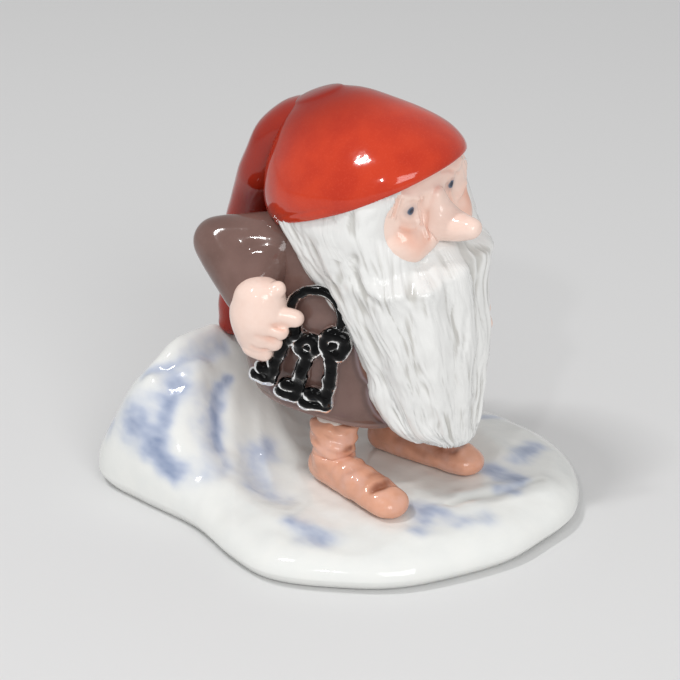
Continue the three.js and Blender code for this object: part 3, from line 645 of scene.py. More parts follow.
coat_glaze = Glaze("coat_glaze")
speck = coat_glaze.cloud(0.5, 3)
body = coat_glaze.blend(coat_glaze.ramp(coat_glaze.cloud(7, 3), 0.3, 0.7),
                        tint(121, 94, 87), tint(109, 83, 76))
body = coat_glaze.blend(coat_glaze.ramp(speck, 0.55, 0.75) * 0.22, body, tint(132, 105, 98))
for pigment, strength, colour in COAT_PAINTS:
    body = coat_glaze.blend(coat_glaze.pigment(pigment) * strength, body, tint(*colour))
coat_glaze.colour(body)
coat_glaze.rough(0.07 + 0.05 * coat_glaze.cloud(3, 2))
coat_glaze.relief(coat_glaze.cloud(5, 2) + 0.04 * speck, 0.12)
fire(coat, coat_glaze, "coat_glaze", "coat_body")


# Sleeves
# Each arm is cast apart and luted to the coat: the upper arm goes back to the elbow, the lower
# one comes forward to the hand, and a loose fold fills the bend. The glaze is the coat's.

SLEEVE_THICK, ELBOW_THICK, WRIST_THICK = 14.5, 12, 11.6
SLEEVES = {
    "right": dict(elbow=(-20.5, 35, 63), shoulder=(-11.5, 24, 63), cuff=(-22.9, 23.86, 55.08),
                  inside=(-13.97, 23.1, 60.8)),
    "left": dict(elbow=(22.5, 24.5, 52), shoulder=(11.5, 24, 63), cuff=(18.9, 5.06, 48.4),
                 inside=(12.7, 18.7, 59.8)),
}
for side_name, arm in SLEEVES.items():
    outward = -1 if side_name == "right" else 1
    sleeve = lute(f"{side_name}_sleeve_cast", [
        bar("upper", arm["elbow"], arm["shoulder"], ELBOW_THICK, SLEEVE_THICK, 24),
        bar("lower", arm["elbow"], arm["cuff"], ELBOW_THICK, WRIST_THICK, 24),
        bar("fold", arm["inside"], arm["cuff"], WRIST_THICK, WRIST_THICK, 24),
    ], 0.4, 60)
    elbow, cuff = Vector(arm["elbow"]), Vector(arm["cuff"])
    forearm = (cuff - elbow).normalized()
    out = Vector((outward, 0, 0))
    up = forearm.cross(out).normalized()
    up *= math.copysign(1, up.z)
    rim = [cuff + forearm * 3.4 + (out * math.cos(a) + up * math.sin(a)) * WRIST_THICK * 0.42
           for a in np.linspace(0, 2 * math.pi, 15)]
    spots = places(sleeve)
    swell(sleeve, worked(spots, [(rim, 0.8, 0.35)]) + 0.2 * grain(spots, 0.14, 11) - 0.05)
    for pigment in ("thin", "seam_shade", "hem"):
        paint(sleeve, pigment, np.zeros(len(spots)))
    paint(sleeve, "warm", brushed(spots, [([p + forearm * 0.8 for p in rim], 1.0, 0.7)]))
    fire(sleeve, coat_glaze, "coat_glaze", f"{side_name}_sleeve")


# Hands
# The right hand is a fist whose first finger holds the key ring, and the left one lies open on
# the coat under the beard. Palm and fingers are modelled together, in the skin's pale glaze.
# Warm colour is painted into the gaps between the fingers as shade.

HAND_LENGTH, HAND_THICK, FINGER_THICK = 12.5, 11, 4.8
PALM_LINE = [(-0.5, 0.44, 0.46), (-0.1, 0.54, 0.56), (0.34, 0.46, 0.48)]
FIST = [
    ((0.2, 0.05, 0.15), (0.66, -0.05, 0.05)), ((0.1, -0.14, 0.26), (0.42, -0.26, 0.2)),
    ((0.06, -0.4, 0.22), (0.3, -0.5, 0.16)), ((-0.1, -0.62, 0.16), (0.1, -0.74, 0.12)),
    ((0.16, 0.32, 0.12), (0.34, 0.46, 0.06)),
]
OPEN_HAND = [
    ((0.3, 0.3, 0.1), (0.9, 0.26, -0.1)), ((0.3, 0.08, 0.12), (1, 0, -0.12)),
    ((0.3, -0.14, 0.12), (0.95, -0.26, -0.12)), ((0.25, -0.34, 0.1), (0.8, -0.5, -0.1)),
    ((0.05, 0.42, 0.1), (0.4, 0.64, 0.02)),
]
HANDS = [
    ("right", 1, FIST, place(-23.829, 19.525, 52, turn_x=90, turn_z=-63.5)),
    ("left", -1, OPEN_HAND, place(17.5, -2.5, 47, turn_x=90, turn_z=-107)),
]


def skin(glaze):
    """The skin's colour: pale, warmer where a blush is brushed on, and where shade is painted into
    creases.
    """
    flush = glaze.cloud(3, 3, seed=2)
    pale = glaze.blend(flush, tint(249, 224, 212), tint(241, 210, 195))
    blush_and_shade = glaze.ramp(glaze.pigment("blush_and_shade") * (0.8 + 0.4 * flush), 0.05, 1.0)
    glaze.rough(0.06 + 0.05 * glaze.cloud(2.5, 2))
    glaze.relief(glaze.cloud(2.6, 2) + 0.06 * glaze.cloud(0.6, 2), 0.12)
    return glaze.blend(blush_and_shade, pale, tint(234, 160, 130))


skin_glaze = Glaze("skin_glaze")
skin_glaze.colour(skin(skin_glaze))
for side_name, outward, fingers, palm_place in HANDS:
    palm = cast("palm", [
        (0, up * HAND_LENGTH, 0, across * HAND_LENGTH, deep * HAND_THICK)
        for up, across, deep in PALM_LINE
    ], (HAND_THICK / 3, HAND_THICK / 3), 24, 6)
    fingers = [[Vector((forward, up, outward * out)) * HAND_LENGTH for forward, up, out in finger]
               for finger in fingers]
    hand = lute(f"{side_name}_hand_cast", [palm] + [
        bar("finger", start, tip, FINGER_THICK, FINGER_THICK * 0.9) for start, tip in fingers
    ], 0.22, 10)
    above = Vector((0, 0, outward * 2))
    gaps = [[(start + start_2) / 2 + above, (tip + tip_2) / 2 + above]
            for (start, tip), (start_2, tip_2) in zip(fingers[:3], fingers[1:4])]
    spots = places(hand)
    swell(hand, worked(spots, [(gap, 0.6, -0.5) for gap in gaps]) + 0.12 * grain(spots, 0.3, 8))
    # Painted shade: warm colour in the gaps between the fingers, with a blush on the fingertips
    paint(hand, "blush_and_shade", brushed(spots, [(gap, 1.0, 0.4) for gap in gaps] + [
        ([tip, tip + Vector((0.1, 0, 0))], 2.4, 0.15) for _, tip in fingers]))
    hand.data.transform(palm_place)
    fire(hand, skin_glaze, "skin_glaze", f"{side_name}_hand")


# Head
# A broad head with a long drooping nose, cast in one, with the eyes painted on small raised
# balls in their sockets. Fine folds run beside the nose and at the eyes, and the cheeks are red.
# Warm colour is painted into the fine creases and round the eyes as shade.

HEAD = place(0, 3, 76, turn_y=-7, turn_z=3)
HEAD_WIDTH, HEAD_DEPTH, HEAD_HEIGHT = 31, 26, 30
HEAD_LINE = [
    (-0.36, 0.03, 0.84, 0.84, 2.6), (-0.2, 0.06, 0.97, 0.99, 3.4), (0, 0, 1, 0.96, 3.2),
    (0.2, 0.03, 0.97, 0.95, 3), (0.36, 0, 0.85, 0.85, 2.6),
]
NOSE_LENGTH, NOSE_WIDTH, NOSE_HEIGHT, NOSE_SINK = 14, 8.4, 10.4, 3
NOSE_LINE = [
    (0, 0, 0.9, 1.38), (0.16, -0.115, 0.98, 1.14), (0.36, -0.205, 0.96, 0.92),
    (0.64, -0.24, 0.84, 0.7), (0.86, -0.22, 0.72, 0.56), (1, -0.2, 0.64, 0.48),
]
# Each eye's place and half width
EYES = [(Vector((-7.5, -11.7, 2.9)), 0.95), (Vector((5.6, -12.4, 3.7)), 1.05)]
PUPIL_TALL = 1.0
# Painted rings of an eye: where each is full and where it ends in eye sizes, strength and colour
EYE_RINGS = [(0.9, 2.3, 0.4, (158, 146, 148)), (0.75, 1.1, 1, (88, 102, 124)),
             (0.3, 0.8, 1, (44, 52, 70))]
# Folds of the skin on the right side of the face: crow's feet, then those beside the nose
FACE_FOLDS = [
    ([(-11.2, -10.4, 7), (-12, -10.6, 5.6), (-12.4, -10.1, 3.7)], 0.5, 0.62),
    ([(-10.8, -10.8, 6.8), (-11.5, -10.8, 5.2), (-12, -10.4, 3.3)], 0.45, -0.8),
    ([(-10.3, -11.2, 6.5), (-10.9, -11.1, 4.7), (-11.5, -10.8, 2.8)], 0.45, 0.55),
    ([(-9.9, -11.5, 6.4), (-10.5, -11.4, 4.6), (-11.2, -11, 2.6)], 0.4, -0.55),
    ([(-6.1, -12.8, 5.2), (-5.6, -12.5, 2.3), (-5.8, -12.3, -0.1)], 0.55, 0.8),
    ([(-5.5, -12.8, 5), (-5.1, -12.5, 1.9), (-5.5, -12.5, -0.8)], 0.45, -0.8),
    ([(-4.9, -12.7, 4.6), (-4.7, -12.5, 1.5), (-5.3, -12.7, -1.2), (-5.8, -13.4, -3.4)], 0.55, 0.9),
    ([(-4.3, -12.7, 4.2), (-4.2, -12.6, 0.8), (-4.9, -13, -1.8), (-5.3, -13.5, -4)], 0.5, -1.1),
]
# The far side shows the same folds more faintly, with a bulge at the temple and one fold of its own
FAR_FOLD_SHARE = 0.3
FAR_SIDE_FOLDS = [
    ([(11.4, -10.6, 8), (12.2, -10.6, 2)], 3.6, 1.2),
    ([(3.1, -12.3, 7.8), (5.1, -12.4, 7.3), (8.6, -12.1, 4.9)], 0.5, -0.3),
]
NOSE_ROOT_FOLDS = [
    ([(-1.8, -15, 5), (-2, -15.6, 3.6)], 1.6, 0.5), ([(-2.4, -13.4, 7), (2.4, -13.4, 7)], 1.2, -0.4),
]
skull = cast("skull", [
    (0, -forward * HEAD_DEPTH, up * HEAD_HEIGHT, wide * HEAD_WIDTH / 2, deep * HEAD_DEPTH / 2, square)
    for up, forward, wide, deep, square in HEAD_LINE
], (HEAD_HEIGHT * 0.14,) * 2, 48, 16, level=True)
nose_root, nose_tip = HEAD_DEPTH / 2 - NOSE_SINK, NOSE_HEIGHT * 0.26
nose = cast("nose", [
    (0, -nose_root - forward * (NOSE_LENGTH - nose_tip), up * NOSE_HEIGHT, wide * NOSE_WIDTH / 2,
     tall * NOSE_HEIGHT / 2) for forward, up, wide, tall in NOSE_LINE
], (NOSE_SINK, nose_tip), 24, 8)
head = lute("head_cast", [skull, nose], 0.23, 14)
folds = FACE_FOLDS + [
    (points, width, height * FAR_FOLD_SHARE)
    for points, width, height in mirrored(FACE_FOLDS)] + FAR_SIDE_FOLDS
for side, (eye, _), depth in zip((-1, 1), EYES, (1, 0.4)):
    folds += [
        ([eye + Vector((-1.2, 0, 0)), eye + Vector((1.2, 0, 0.2))], 2.8, -1.5 * depth),
        ([eye, eye + Vector((0.1, 0, 0))], 1.6, 1.1 * depth),
        ([(side * 9.6, -12.6, -3), (side * 8.4, -13, -5.6)], 3.4, 1.1),
        ([(side * 3.9, -13, -3.2), (side * 4.1, -13.4, -4.6)], 1.8, 0.9),
        ([(side * 10.8, -11.2, 1.2), (side * 9.4, -11.8, 0.2), (side * 7.6, -12.2, -0.4)], 0.7, 0.35),
        ([(side * 10.6, -11.2, 0.2), (side * 9.2, -12, -0.8), (side * 7.4, -12.4, -1.3)], 0.5, -0.25),
        ([(side * 9.4, -11.6, 7.2), (side * 8.2, -12.2, 6.4), (side * 5.6, -12.8, 5.6)], 0.9, 0.45),
    ]
folds += NOSE_ROOT_FOLDS
spots = places(head)
swell(head, worked(spots, folds) + 0.1 * grain(spots, 0.4, 6))
spots = places(head)
# Painted shade: warm colour in the fine creases and a little round the eyes, with blush on the cheeks
# and beside the nose
creases = [(points, 0.55, 0.3) for points, width, height in folds if width < 0.6 and height < 0]
paint(head, "blush_and_shade", brushed(spots, creases + [
    ([(side * 10.8, -12.4, -1.4), (side * 8.8, -13, -4.6)], 3.0, 0.55) for side in (-1, 1)] + [
    ([(side * 6, -13.2, -3.6), (side * 5.8, -13.2, -6)], 1.7, 0.5) for side in (-1, 1)] + [
    ([(12, -11.4, -2.6), (11.4, -11.8, -5)], 2.4, 0.6)] + [
    ([eye, eye + Vector((0.1, 0, 0))], 3.2, 0.18) for eye, _ in EYES]))
# The skin's own shape guides the hair, which is worked up to it
bare_head = BVHTree.FromPolygons(spots.tolist(), [face.vertices[:] for face in head.data.polygons])

face_glaze = Glaze("face_glaze")
face_colour = skin(face_glaze)
for eye, half_wide in EYES:
    middle = (HEAD @ eye - FIGURE_MIDDLE) * MM
    about_eye = face_glaze.node("ShaderNodeMapping", sockets={
        "Vector": face_glaze.spot, "Location": -middle})
    scaled = face_glaze.node("ShaderNodeVectorMath", {"operation": "MULTIPLY"}, {
        0: about_eye, 1: (1 / (half_wide * MM), 0.25 / MM, 1 / (PUPIL_TALL * MM))})
    away = face_glaze.node("ShaderNodeVectorMath", {"operation": "LENGTH"}, {0: scaled}, "Value")
    for full, end, strength, colour in EYE_RINGS:
        ring = (1 - face_glaze.ramp(away, full, end)) * strength
        face_colour = face_glaze.blend(ring, face_colour, tint(*colour))
face_glaze.colour(face_colour)
head.data.transform(HEAD)
fire(head, face_glaze, "skin_glaze", "head")


# Beard and side hair
# One form with the side hair, the moustache and the long beard, cast in a mould and then worked
# over with a pointed tool, strand by strand. Grey is painted into the deeper hollows as shade.

BEARD_TIP, BEARD_LENGTH, BEARD_WIDTH, BEARD_DEPTH = 21, 59, 38, 38
BEARD_LINE = [
    (0.06, -0.39, 0.32, 0.26, 2), (0.11, -0.31, 0.48, 0.44, 2.1), (0.18, -0.25, 0.58, 0.56, 2.2),
    (0.32, -0.19, 0.7, 0.68, 2.3), (0.48, -0.11, 0.82, 0.82, 2.3), (0.64, 0, 0.92, 0.94, 2.5),
    (0.76, 0.06, 1, 0.97, 3.6), (0.88, 0.13, 1.03, 0.97, 4.6), (1, 0.15, 0.98, 0.86, 3.6),
]
BEARD_LOCKS, LOCK_DEPTH, LOCK_SWAY = 11, 1, 0.8
# Hollows and raised locks worked into the hair at the cheeks, on the right side
SIDE_LOCKS = [
    ([(-19.2, -3.2, 68.2), (-18.6, -3.3, 65.4), (-18, -3.8, 63), (-17.6, -5.5, 61.1),
      (-17, -8.2, 59.9)], 1.2, -1.0),
    ([(-19.1, -5.4, 67.5), (-18.4, -5.6, 64), (-17.9, -7.5, 62.1), (-16.6, -9.7, 60.5)], 1.5, 0.6),
    ([(-19.2, 1.7, 65.5), (-18.7, 0.9, 62.9), (-18.2, 0.5, 60.9)], 0.9, -0.7),
    ([(-19, -1, 66.5), (-18.4, -1.3, 63.5), (-17.6, -1.8, 60.7)], 1.1, 0.4),
    ([(-17.9, 4.9, 61.4), (-17.6, 1.9, 58.9), (-16.8, -2.4, 55.9)], 2.6, -0.6),
    ([(-18.6, -7.9, 72.9), (-18.5, -9, 69.6), (-18, -9.8, 67.1)], 1.2, -0.5),
    ([(-7.8, -15.7, 66.8), (-11.7, -15.5, 65.4), (-12.7, -14.8, 63.5), (-12.9, -13.8, 61)], 1.1, -0.8),
]
BEARD_LOCK_ENDS = [
    ([(4.2, -16.6, 63.2), (5.3, -16.9, 60.3), (5.5, -17.3, 57.6)], 1.0, -0.5),
    ([(-2.7, -16.2, 66), (-4.1, -16.7, 63.3), (-4.1, -17.1, 59.4)], 1.0, -0.5),
    ([(-10, -4, 35), (-9, -6, 30), (-7, -11, 26)], 3.4, 2.0),
    ([(-11.6, -1, 38.4), (-9.8, -3, 36.4)], 0.9, -0.9), ([(-2, -17, 25), (1, -19, 26)], 2.2, 0.9),
]
# The hair stands out beyond the left temple, and its strands are fainter from there down
FAR_HAIR = [([(14.4, -11.2, 76), (14.6, -12, 71)], 3.8, 2.7)]
SMOOTH_HAIR = [(15.4, -11.5, 76), (15.4, -13, 70), (14.5, -15, 65), (13, -16.5, 60)]
OPENING_MIDDLE, OPENING_REACH = np.array((0, -13, 0)), np.array((15.7, 9.1, 10.75))
SKIN_TUCK, HAIR_OVER_SKIN = 1.9, 0.35
# Below one height the form is drawn up to a blunter tip, and above another it runs up under the brim
TIP_FROM, TIP_DRAWN_UP, TOP_FROM, TOP_STRETCH = 28, 0.74, 74, 1.4
# Sway of the strands: mm, waves round the beard, mm from wave to wave down it, and seed
BEARD_ROUND, STRAND_SWAY = 17, [(2.6, 3, 13, 3), (1.1, 8, 7, 5)]
# Strands: depth, width and length in mm, and seed
STRANDS = [(0.6, 3, 12, 9), (0.7, 1.4, 9, 1), (0.45, 0.75, 6, 4)]
STRAND_CREST, STRANDS_ON_SKIN = 0.25, 0.3
# How far up and down the skull guides the hair, as a share of its height, and how far back
SKULL_END, BEHIND_TEMPLE = 0.49, 0.2
CHEEK_IN, CHEEK_OUT = 2, 1.6
MOUSTACHE_DOWN, MOUSTACHE_WIDE = (5, 7.4), 5.4
# Across the face in mm, and the mm in which the hair rises from the skin there
HAIR_RISE = ((-6, 8), (3.4, 1.8))
WIPES = 30


def moved(spots, matrix):
    """Where spots lie once a matrix has moved them."""
    return (np.c_[spots, np.ones(len(spots))] @ np.array(matrix).T)[:, :3]


beard = cast("beard_cast", [
    (0, back * BEARD_DEPTH, BEARD_TIP + up * BEARD_LENGTH, wide * BEARD_WIDTH / 2,
     deep * BEARD_DEPTH / 2, square) for up, back, wide, deep, square in BEARD_LINE
], (3, 3), 150, 52, level=True, domes=4)
form = places(beard)
form[:, 2] = np.where(
    form[:, 2] < TIP_FROM, TIP_FROM - (TIP_FROM - form[:, 2]) * TIP_DRAWN_UP, form[:, 2])
form[:, 2] = np.where(
    form[:, 2] > TOP_FROM, TOP_FROM + (form[:, 2] - TOP_FROM) * TOP_STRETCH, form[:, 2])
line = along_curve([(back, up) for up, back, *_ in BEARD_LINE], np.linspace(0, 1, 80))
middle = np.interp(form[:, 2], BEARD_TIP + line[:, 1] * BEARD_LENGTH, line[:, 0] * BEARD_DEPTH)
turn = np.arctan2(form[:, 0], middle - form[:, 1])
up = (form[:, 2] - BEARD_TIP) / BEARD_LENGTH
lock = ease(up, 0, 0.2) * (1 - ease(up, 0.8, 1)) * np.cos(
    BEARD_LOCKS * turn + LOCK_SWAY * np.sin(2 * math.pi * up))
form[:, 0] += LOCK_DEPTH / 2 * lock * np.sin(turn)
form[:, 1] -= LOCK_DEPTH / 2 * lock * np.cos(turn)

# Strands: across them in mm, with a slow sway, and down them in mm
across, down = turn * BEARD_ROUND, form[:, 2]
for sway, waves, length, seed in STRAND_SWAY:
    across = across + sway * grain(np.c_[turn * waves, down / length, turn * 0], 1, seed)
strands = sum(
    depth * (STRAND_CREST - np.abs(grain(np.c_[across / width, down / length, down * 0], 1, seed)))
    for depth, width, length, seed in STRANDS)
worked_hair = worked(form, SIDE_LOCKS + mirrored(SIDE_LOCKS) + BEARD_LOCK_ENDS)
# Painted shade: how deep in the hollows each spot lies, for the grey painted there
hollow = ease(-0.12 * lock - 1.9 * strands - 0.8 * np.minimum(worked_hair, 0), -0.3, 0.85)

# Next to the face the hair lies on the skin, and inside the opening it is behind it
in_head = moved(form, HEAD.inverted())
heights, forward, wide, deep, square = np.array(HEAD_LINE).T
level = in_head[:, 2] / HEAD_HEIGHT
centre = -np.interp(level, heights, forward) * HEAD_DEPTH
reach = np.hypot(in_head[:, 0], in_head[:, 1] - centre)
sideways, ahead = in_head[:, 0] / reach, (in_head[:, 1] - centre) / reach
bulge = np.interp(level, heights, square)
skull_reach = (
    np.abs(sideways / np.interp(level, heights, wide) / HEAD_WIDTH * 2) ** bulge
    + np.abs(ahead / np.interp(level, heights, deep) / HEAD_DEPTH * 2) ** bulge) ** (-1 / bulge)
skin_reach = skull_reach.copy()
for i in np.flatnonzero((ahead < BEHIND_TEMPLE) & (np.abs(level) < SKULL_END)):
    hit = bare_head.ray_cast((0, centre[i], in_head[i, 2]), (sideways[i], ahead[i], 0))[3]
    skin_reach[i] = np.clip(
        hit or skull_reach[i], skull_reach[i] - CHEEK_IN, skull_reach[i] + CHEEK_OUT)
on_skin = np.c_[sideways * skin_reach, centre + ahead * skin_reach, in_head[:, 2]]
outside = (((on_skin - OPENING_MIDDLE) / OPENING_REACH) ** 2).sum(1)
outside = np.where(ahead > BEHIND_TEMPLE, 4, outside)
moustache = ease(-on_skin[:, 2], *MOUSTACHE_DOWN) * band(on_skin[:, 0], 0, MOUSTACHE_WIDE)
skin_reach += (np.minimum(skin_reach, skull_reach + 0.5) - skin_reach) * moustache
lie = skin_reach + HAIR_OVER_SKIN - SKIN_TUCK * (1 - ease(outside + 1.3 * moustache, 0.86, 0.99))
from_skin = (np.sqrt(outside + 1.1 * moustache) - 1) * OPENING_REACH[2]
fall = np.interp(on_skin[:, 0], *HAIR_RISE) * (1.02 - ease(np.abs(level), 0.3, SKULL_END))
free = 1 - np.exp(-np.maximum(from_skin, 0) / fall)
free = np.where(np.abs(level) > SKULL_END, 1, free)
reach += (lie - reach) * (1 - free)
in_head[:, :2] = np.c_[sideways * reach, centre + ahead * reach]
put(beard, moved(in_head, HEAD))
# The step down to the skin is wiped smooth before the strands are cut
slope = beard.vertex_groups.new(name="slope")
steps = ease(free, 0, 0.25) * (1 - ease(free, 0.85, 1))
for i in np.flatnonzero(steps > 0.02):
    slope.add([int(i)], steps[i], "REPLACE")
apply(beard, "SMOOTH", factor=0.5, iterations=WIPES, vertex_group="slope")
beard.vertex_groups.clear()
cut = STRANDS_ON_SKIN + (1 - STRANDS_ON_SKIN) * free
swell(beard, (strands + worked_hair) * cut * (1 - 0.7 * near(form, SMOOTH_HAIR, 6))
      + worked(places(beard), FAR_HAIR) * free)
paint(beard, "hollow", hollow * cut)
paint(beard, "flow", np.c_[across, down * 0.07, down * 0] * MM)

beard_glaze = Glaze("beard_glaze", 0.1)
flow = beard_glaze.node("ShaderNodeAttribute", {"attribute_name": "flow"}, output="Vector")
streak = beard_glaze.cloud(0.8, 3, spot=flow)
lie_of_hair = beard_glaze.cloud(1.6, 2, spot=flow, seed=5)
tone = beard_glaze.blend(beard_glaze.cloud(6, 2), tint(239, 239, 237), tint(229, 229, 227))
# Painted shade: grey laid into the hollows, broken up along the strands
hollow_shade = beard_glaze.ramp(
    beard_glaze.pigment("hollow") + 0.8 * (streak - 0.5) + 0.6 * (lie_of_hair - 0.5), 0.2, 1.0)
beard_glaze.colour(beard_glaze.blend(hollow_shade * 0.75, tone, tint(192, 190, 184)))
beard_glaze.rough(0.09 + 0.1 * streak)
beard_glaze.relief(streak + 0.5 * lie_of_hair, 0.16)
fire(beard, beard_glaze, "beard_glaze", "beard")


# Cap
# A soft felt cap in two castings: the crown, whose rolled brim falls away to the back, and the
# end that hangs down behind. Orange-red colour lies over it, darkened by painted shade towards
# the crown's top and back, over the tail, and in a line under the brim.

CAP = HEAD @ place(0, 5, 1.9, turn_x=-22)
CAP_WIDTH, CAP_DEPTH, CAP_HEIGHT = 41, 49, 22.8
BRIM_RISE, BRIM_FALL, BRIM_ROLL = 1, 6, 1.6
# Bands round the brim, as height over its edge and width. The last is a line of painted shade under
# the edge.
BRIM_ROUND, BRIM_GROOVE, BRIM_SHADE_LINE = (0.5, 0.7), (1.9, 0.5), (-0.35, 0.4)
BRIM_ROUND_HEIGHT, BRIM_GROOVE_DEPTH, BRIM_SHADE_STRENGTH = 0.12, 0.2, 0.85
# The brim starts at this share of the way out, and what isn't brim is given a height far off it
BRIM_FROM, OFF_BRIM = 0.86, 99
CROWN_LINE = [
    (0, 0, 0.97), (0.1, 0.03, 1), (0.28, 0.08, 0.96), (0.5, 0.13, 0.81), (0.72, 0.17, 0.59),
    (0.86, 0.19, 0.42), (0.95, 0.2, 0.25),
]
TAIL_LINE = [
    (-2.74, 19.65, 91.23, 6.3, 4.44), (-2.74, 27.76, 87.74, 9.45, 5.61),
    (-2.01, 32.93, 79.58, 10.5, 6), (0, 40.47, 65, 10.5, 6), (-0.84, 42.07, 56, 9.87, 5.77),
    (-2.1, 42.98, 47, 8.4, 5.22), (-4.2, 44.81, 39.8, 6.3, 4.44), (-5.67, 45.82, 35, 3.78, 3.5),
]
TAIL_FOLDS = [
    ([(-5, 22, 90), (-8, 29, 84), (-9, 33, 76)], 4, 1.8),
    ([(-7, 33, 84), (-7.4, 37.5, 76), (-7, 41, 66), (-6, 44, 54)], 1.5, -0.9),
    ([(4, 35, 84), (4.6, 40, 74), (4, 44, 62), (1.4, 46, 50)], 1.6, -0.8),
    ([(-1, 35, 86), (-0.8, 41, 76), (-1, 45.8, 62), (-2, 47, 50)], 2.2, 0.5),
]
cap_glaze = Glaze("cap_glaze")
felt = cap_glaze.cloud(0.4, 3, seed=1)
patch = cap_glaze.cloud(8, 3, seed=5)
red = cap_glaze.blend(cap_glaze.ramp(patch, 0.3, 0.7), tint(205, 58, 24), tint(190, 46, 17))
red = cap_glaze.blend(cap_glaze.ramp(felt, 0.5, 0.72) * 0.3, red, tint(214, 76, 46))
# Painted shade darkens the red: towards the crown's top and back, and over the tail, most in its
# hollows
red = cap_glaze.blend(cap_glaze.pigment("fold"), red, tint(128, 22, 10))
# Painted shade: a dull line under the brim's edge, where the thin pigment lies
cap_glaze.colour(cap_glaze.blend(
    cap_glaze.ramp(cap_glaze.pigment("thin") + 0.3 * (felt - 0.5), 0.3, 1.0), red, tint(150, 84, 70)))
cap_glaze.rough(0.06 + 0.05 * cap_glaze.cloud(2.5, 2))
cap_glaze.relief(cap_glaze.cloud(5, 2) + 0.03 * felt, 0.12)

crown = cast("crown_cast", [
    (0, back * CAP_DEPTH / 2, up * CAP_HEIGHT, wide * CAP_WIDTH / 2, wide * CAP_DEPTH / 2)
    for up, back, wide in CROWN_LINE
], (BRIM_ROLL / 2, 0.05 * CAP_HEIGHT), 110, 34, level=True, domes=6)
spots = places(crown)
away = spots[:, 1] / (CAP_DEPTH / 2)
lift = np.where(away < 0, BRIM_RISE * away**2, -BRIM_FALL * away**3)
outer = np.hypot(spots[:, 0] / CAP_WIDTH, spots[:, 1] / CAP_DEPTH) * 2
over_brim = np.where(outer > BRIM_FROM, spots[:, 2], OFF_BRIM)
spots[:, 2] += lift * np.maximum(0, 1 - spots[:, 2] / CAP_HEIGHT)
put(crown, spots)
back_share = ease(away, -0.5, 0.2)
swell(crown, BRIM_ROUND_HEIGHT * band(over_brim, *BRIM_ROUND)
      - BRIM_GROOVE_DEPTH * back_share * band(over_brim, *BRIM_GROOVE) + 0.14 * grain(spots, 0.1, 8))
# Painted shade: a dull line along the underside of the brim's edge
paint(crown, "thin", BRIM_SHADE_STRENGTH * band(over_brim, *BRIM_SHADE_LINE))
# Painted shade, darker towards the crown's top and towards its back
paint(crown, "fold", np.clip(0.85 * ease(spots[:, 2], 12, 24) + 0.6 * ease(away, 0.2, 0.9), 0, 1))
crown.data.transform(CAP)
fire(crown, cap_glaze, "cap_glaze", "cap_crown")

tail = cast("tail_cast", TAIL_LINE, (3, 3), 64, 34, domes=5)
spots = places(tail)
swell(tail, worked(spots, TAIL_FOLDS) + 0.25 * grain(spots, 0.14, 3) - 0.1)
paint(tail, "thin", np.zeros(len(spots)))
# Painted shade: the whole tail, hanging behind, is darkened, and its hollows more
tail_hollows = [(points, 1.6, 0.6) for points, _, height in TAIL_FOLDS if height < 0]
paint(tail, "fold", brushed(spots, tail_hollows) * 0.3 + 0.7)
fire(tail, cap_glaze, "cap_glaze", "cap_tail")


# Ring and keys
# A heavy key ring with three old keys on it, modelled in relief against the coat and covered in
# thick black glaze that rounds every edge.

RING_PLACE = place(-17.178, 8.873, 52, turn_x=90, turn_z=-63.5)
RING_RADIUS, RING_THICK, KEY_THICK, SHANK_WIDTH = 5.8, 2.4, 2.2, 2.5
HOOK_REACH, KEY_LIFT = 7.4, 1
# Name, place round the ring, swing, bow radius, shank length and bit width
KEYS = [("key_small", -57, -19, 1.8, 12.6, 3.2), ("key_middle", -12, -13, 1.8, 12.2, 3.4),
        ("key_large", 36, -8, 2.4, 14.6, 4.6)]

# Where the glaze has pooled between the ring and the bows, in degrees round the ring
POOL_TURNS = (-57, -33, -9, 14, 36)
POOL_THICK, TOOTH_THICK, TOOTH_DROP = 3.2, 3.2, 0.4
# The bit is two stout teeth, run together by the glaze: height and share of the bit's width
TEETH = ((1.7, 1.0), (3.9, 0.8))
# Known fault: an index under 1 is no real glaze's and rims the keys in white. It should be 1.25.
BLACK_GLAZE_IOR = 0.8

black_glaze = Glaze("black_glaze", 0.05, ior=BLACK_GLAZE_IOR)
pool = black_glaze.cloud(2, 3)
black_glaze.colour(black_glaze.blend(
    black_glaze.ramp(pool, 0.62, 0.8), tint(2, 2, 3), tint(12, 10, 10)))
black_glaze.rough(0.03 + 0.05 * pool)
black_glaze.relief(black_glaze.cloud(1.8, 2), 0.2)

bpy.ops.object.select_all(action="DESELECT")
bpy.ops.mesh.primitive_torus_add(
    major_radius=RING_RADIUS, minor_radius=RING_THICK * 0.54, major_segments=96, minor_segments=24)
parts = [bpy.context.object]
hooks = [(HOOK_REACH * math.sin(math.radians(a)), -HOOK_REACH * math.cos(math.radians(a)), KEY_LIFT)
         for a in POOL_TURNS]
for start, end in zip(hooks[:-1], hooks[1:]):
    parts.append(bar("pool", start, end, POOL_THICK, POOL_THICK))
key_ring = lute("key_ring_cast", parts, 0.16, 10)
swell(key_ring, 0.22 * grain(places(key_ring), 0.4, 1))
key_ring.data.transform(RING_PLACE)
fire(key_ring, black_glaze, "black_glaze", "key_ring")

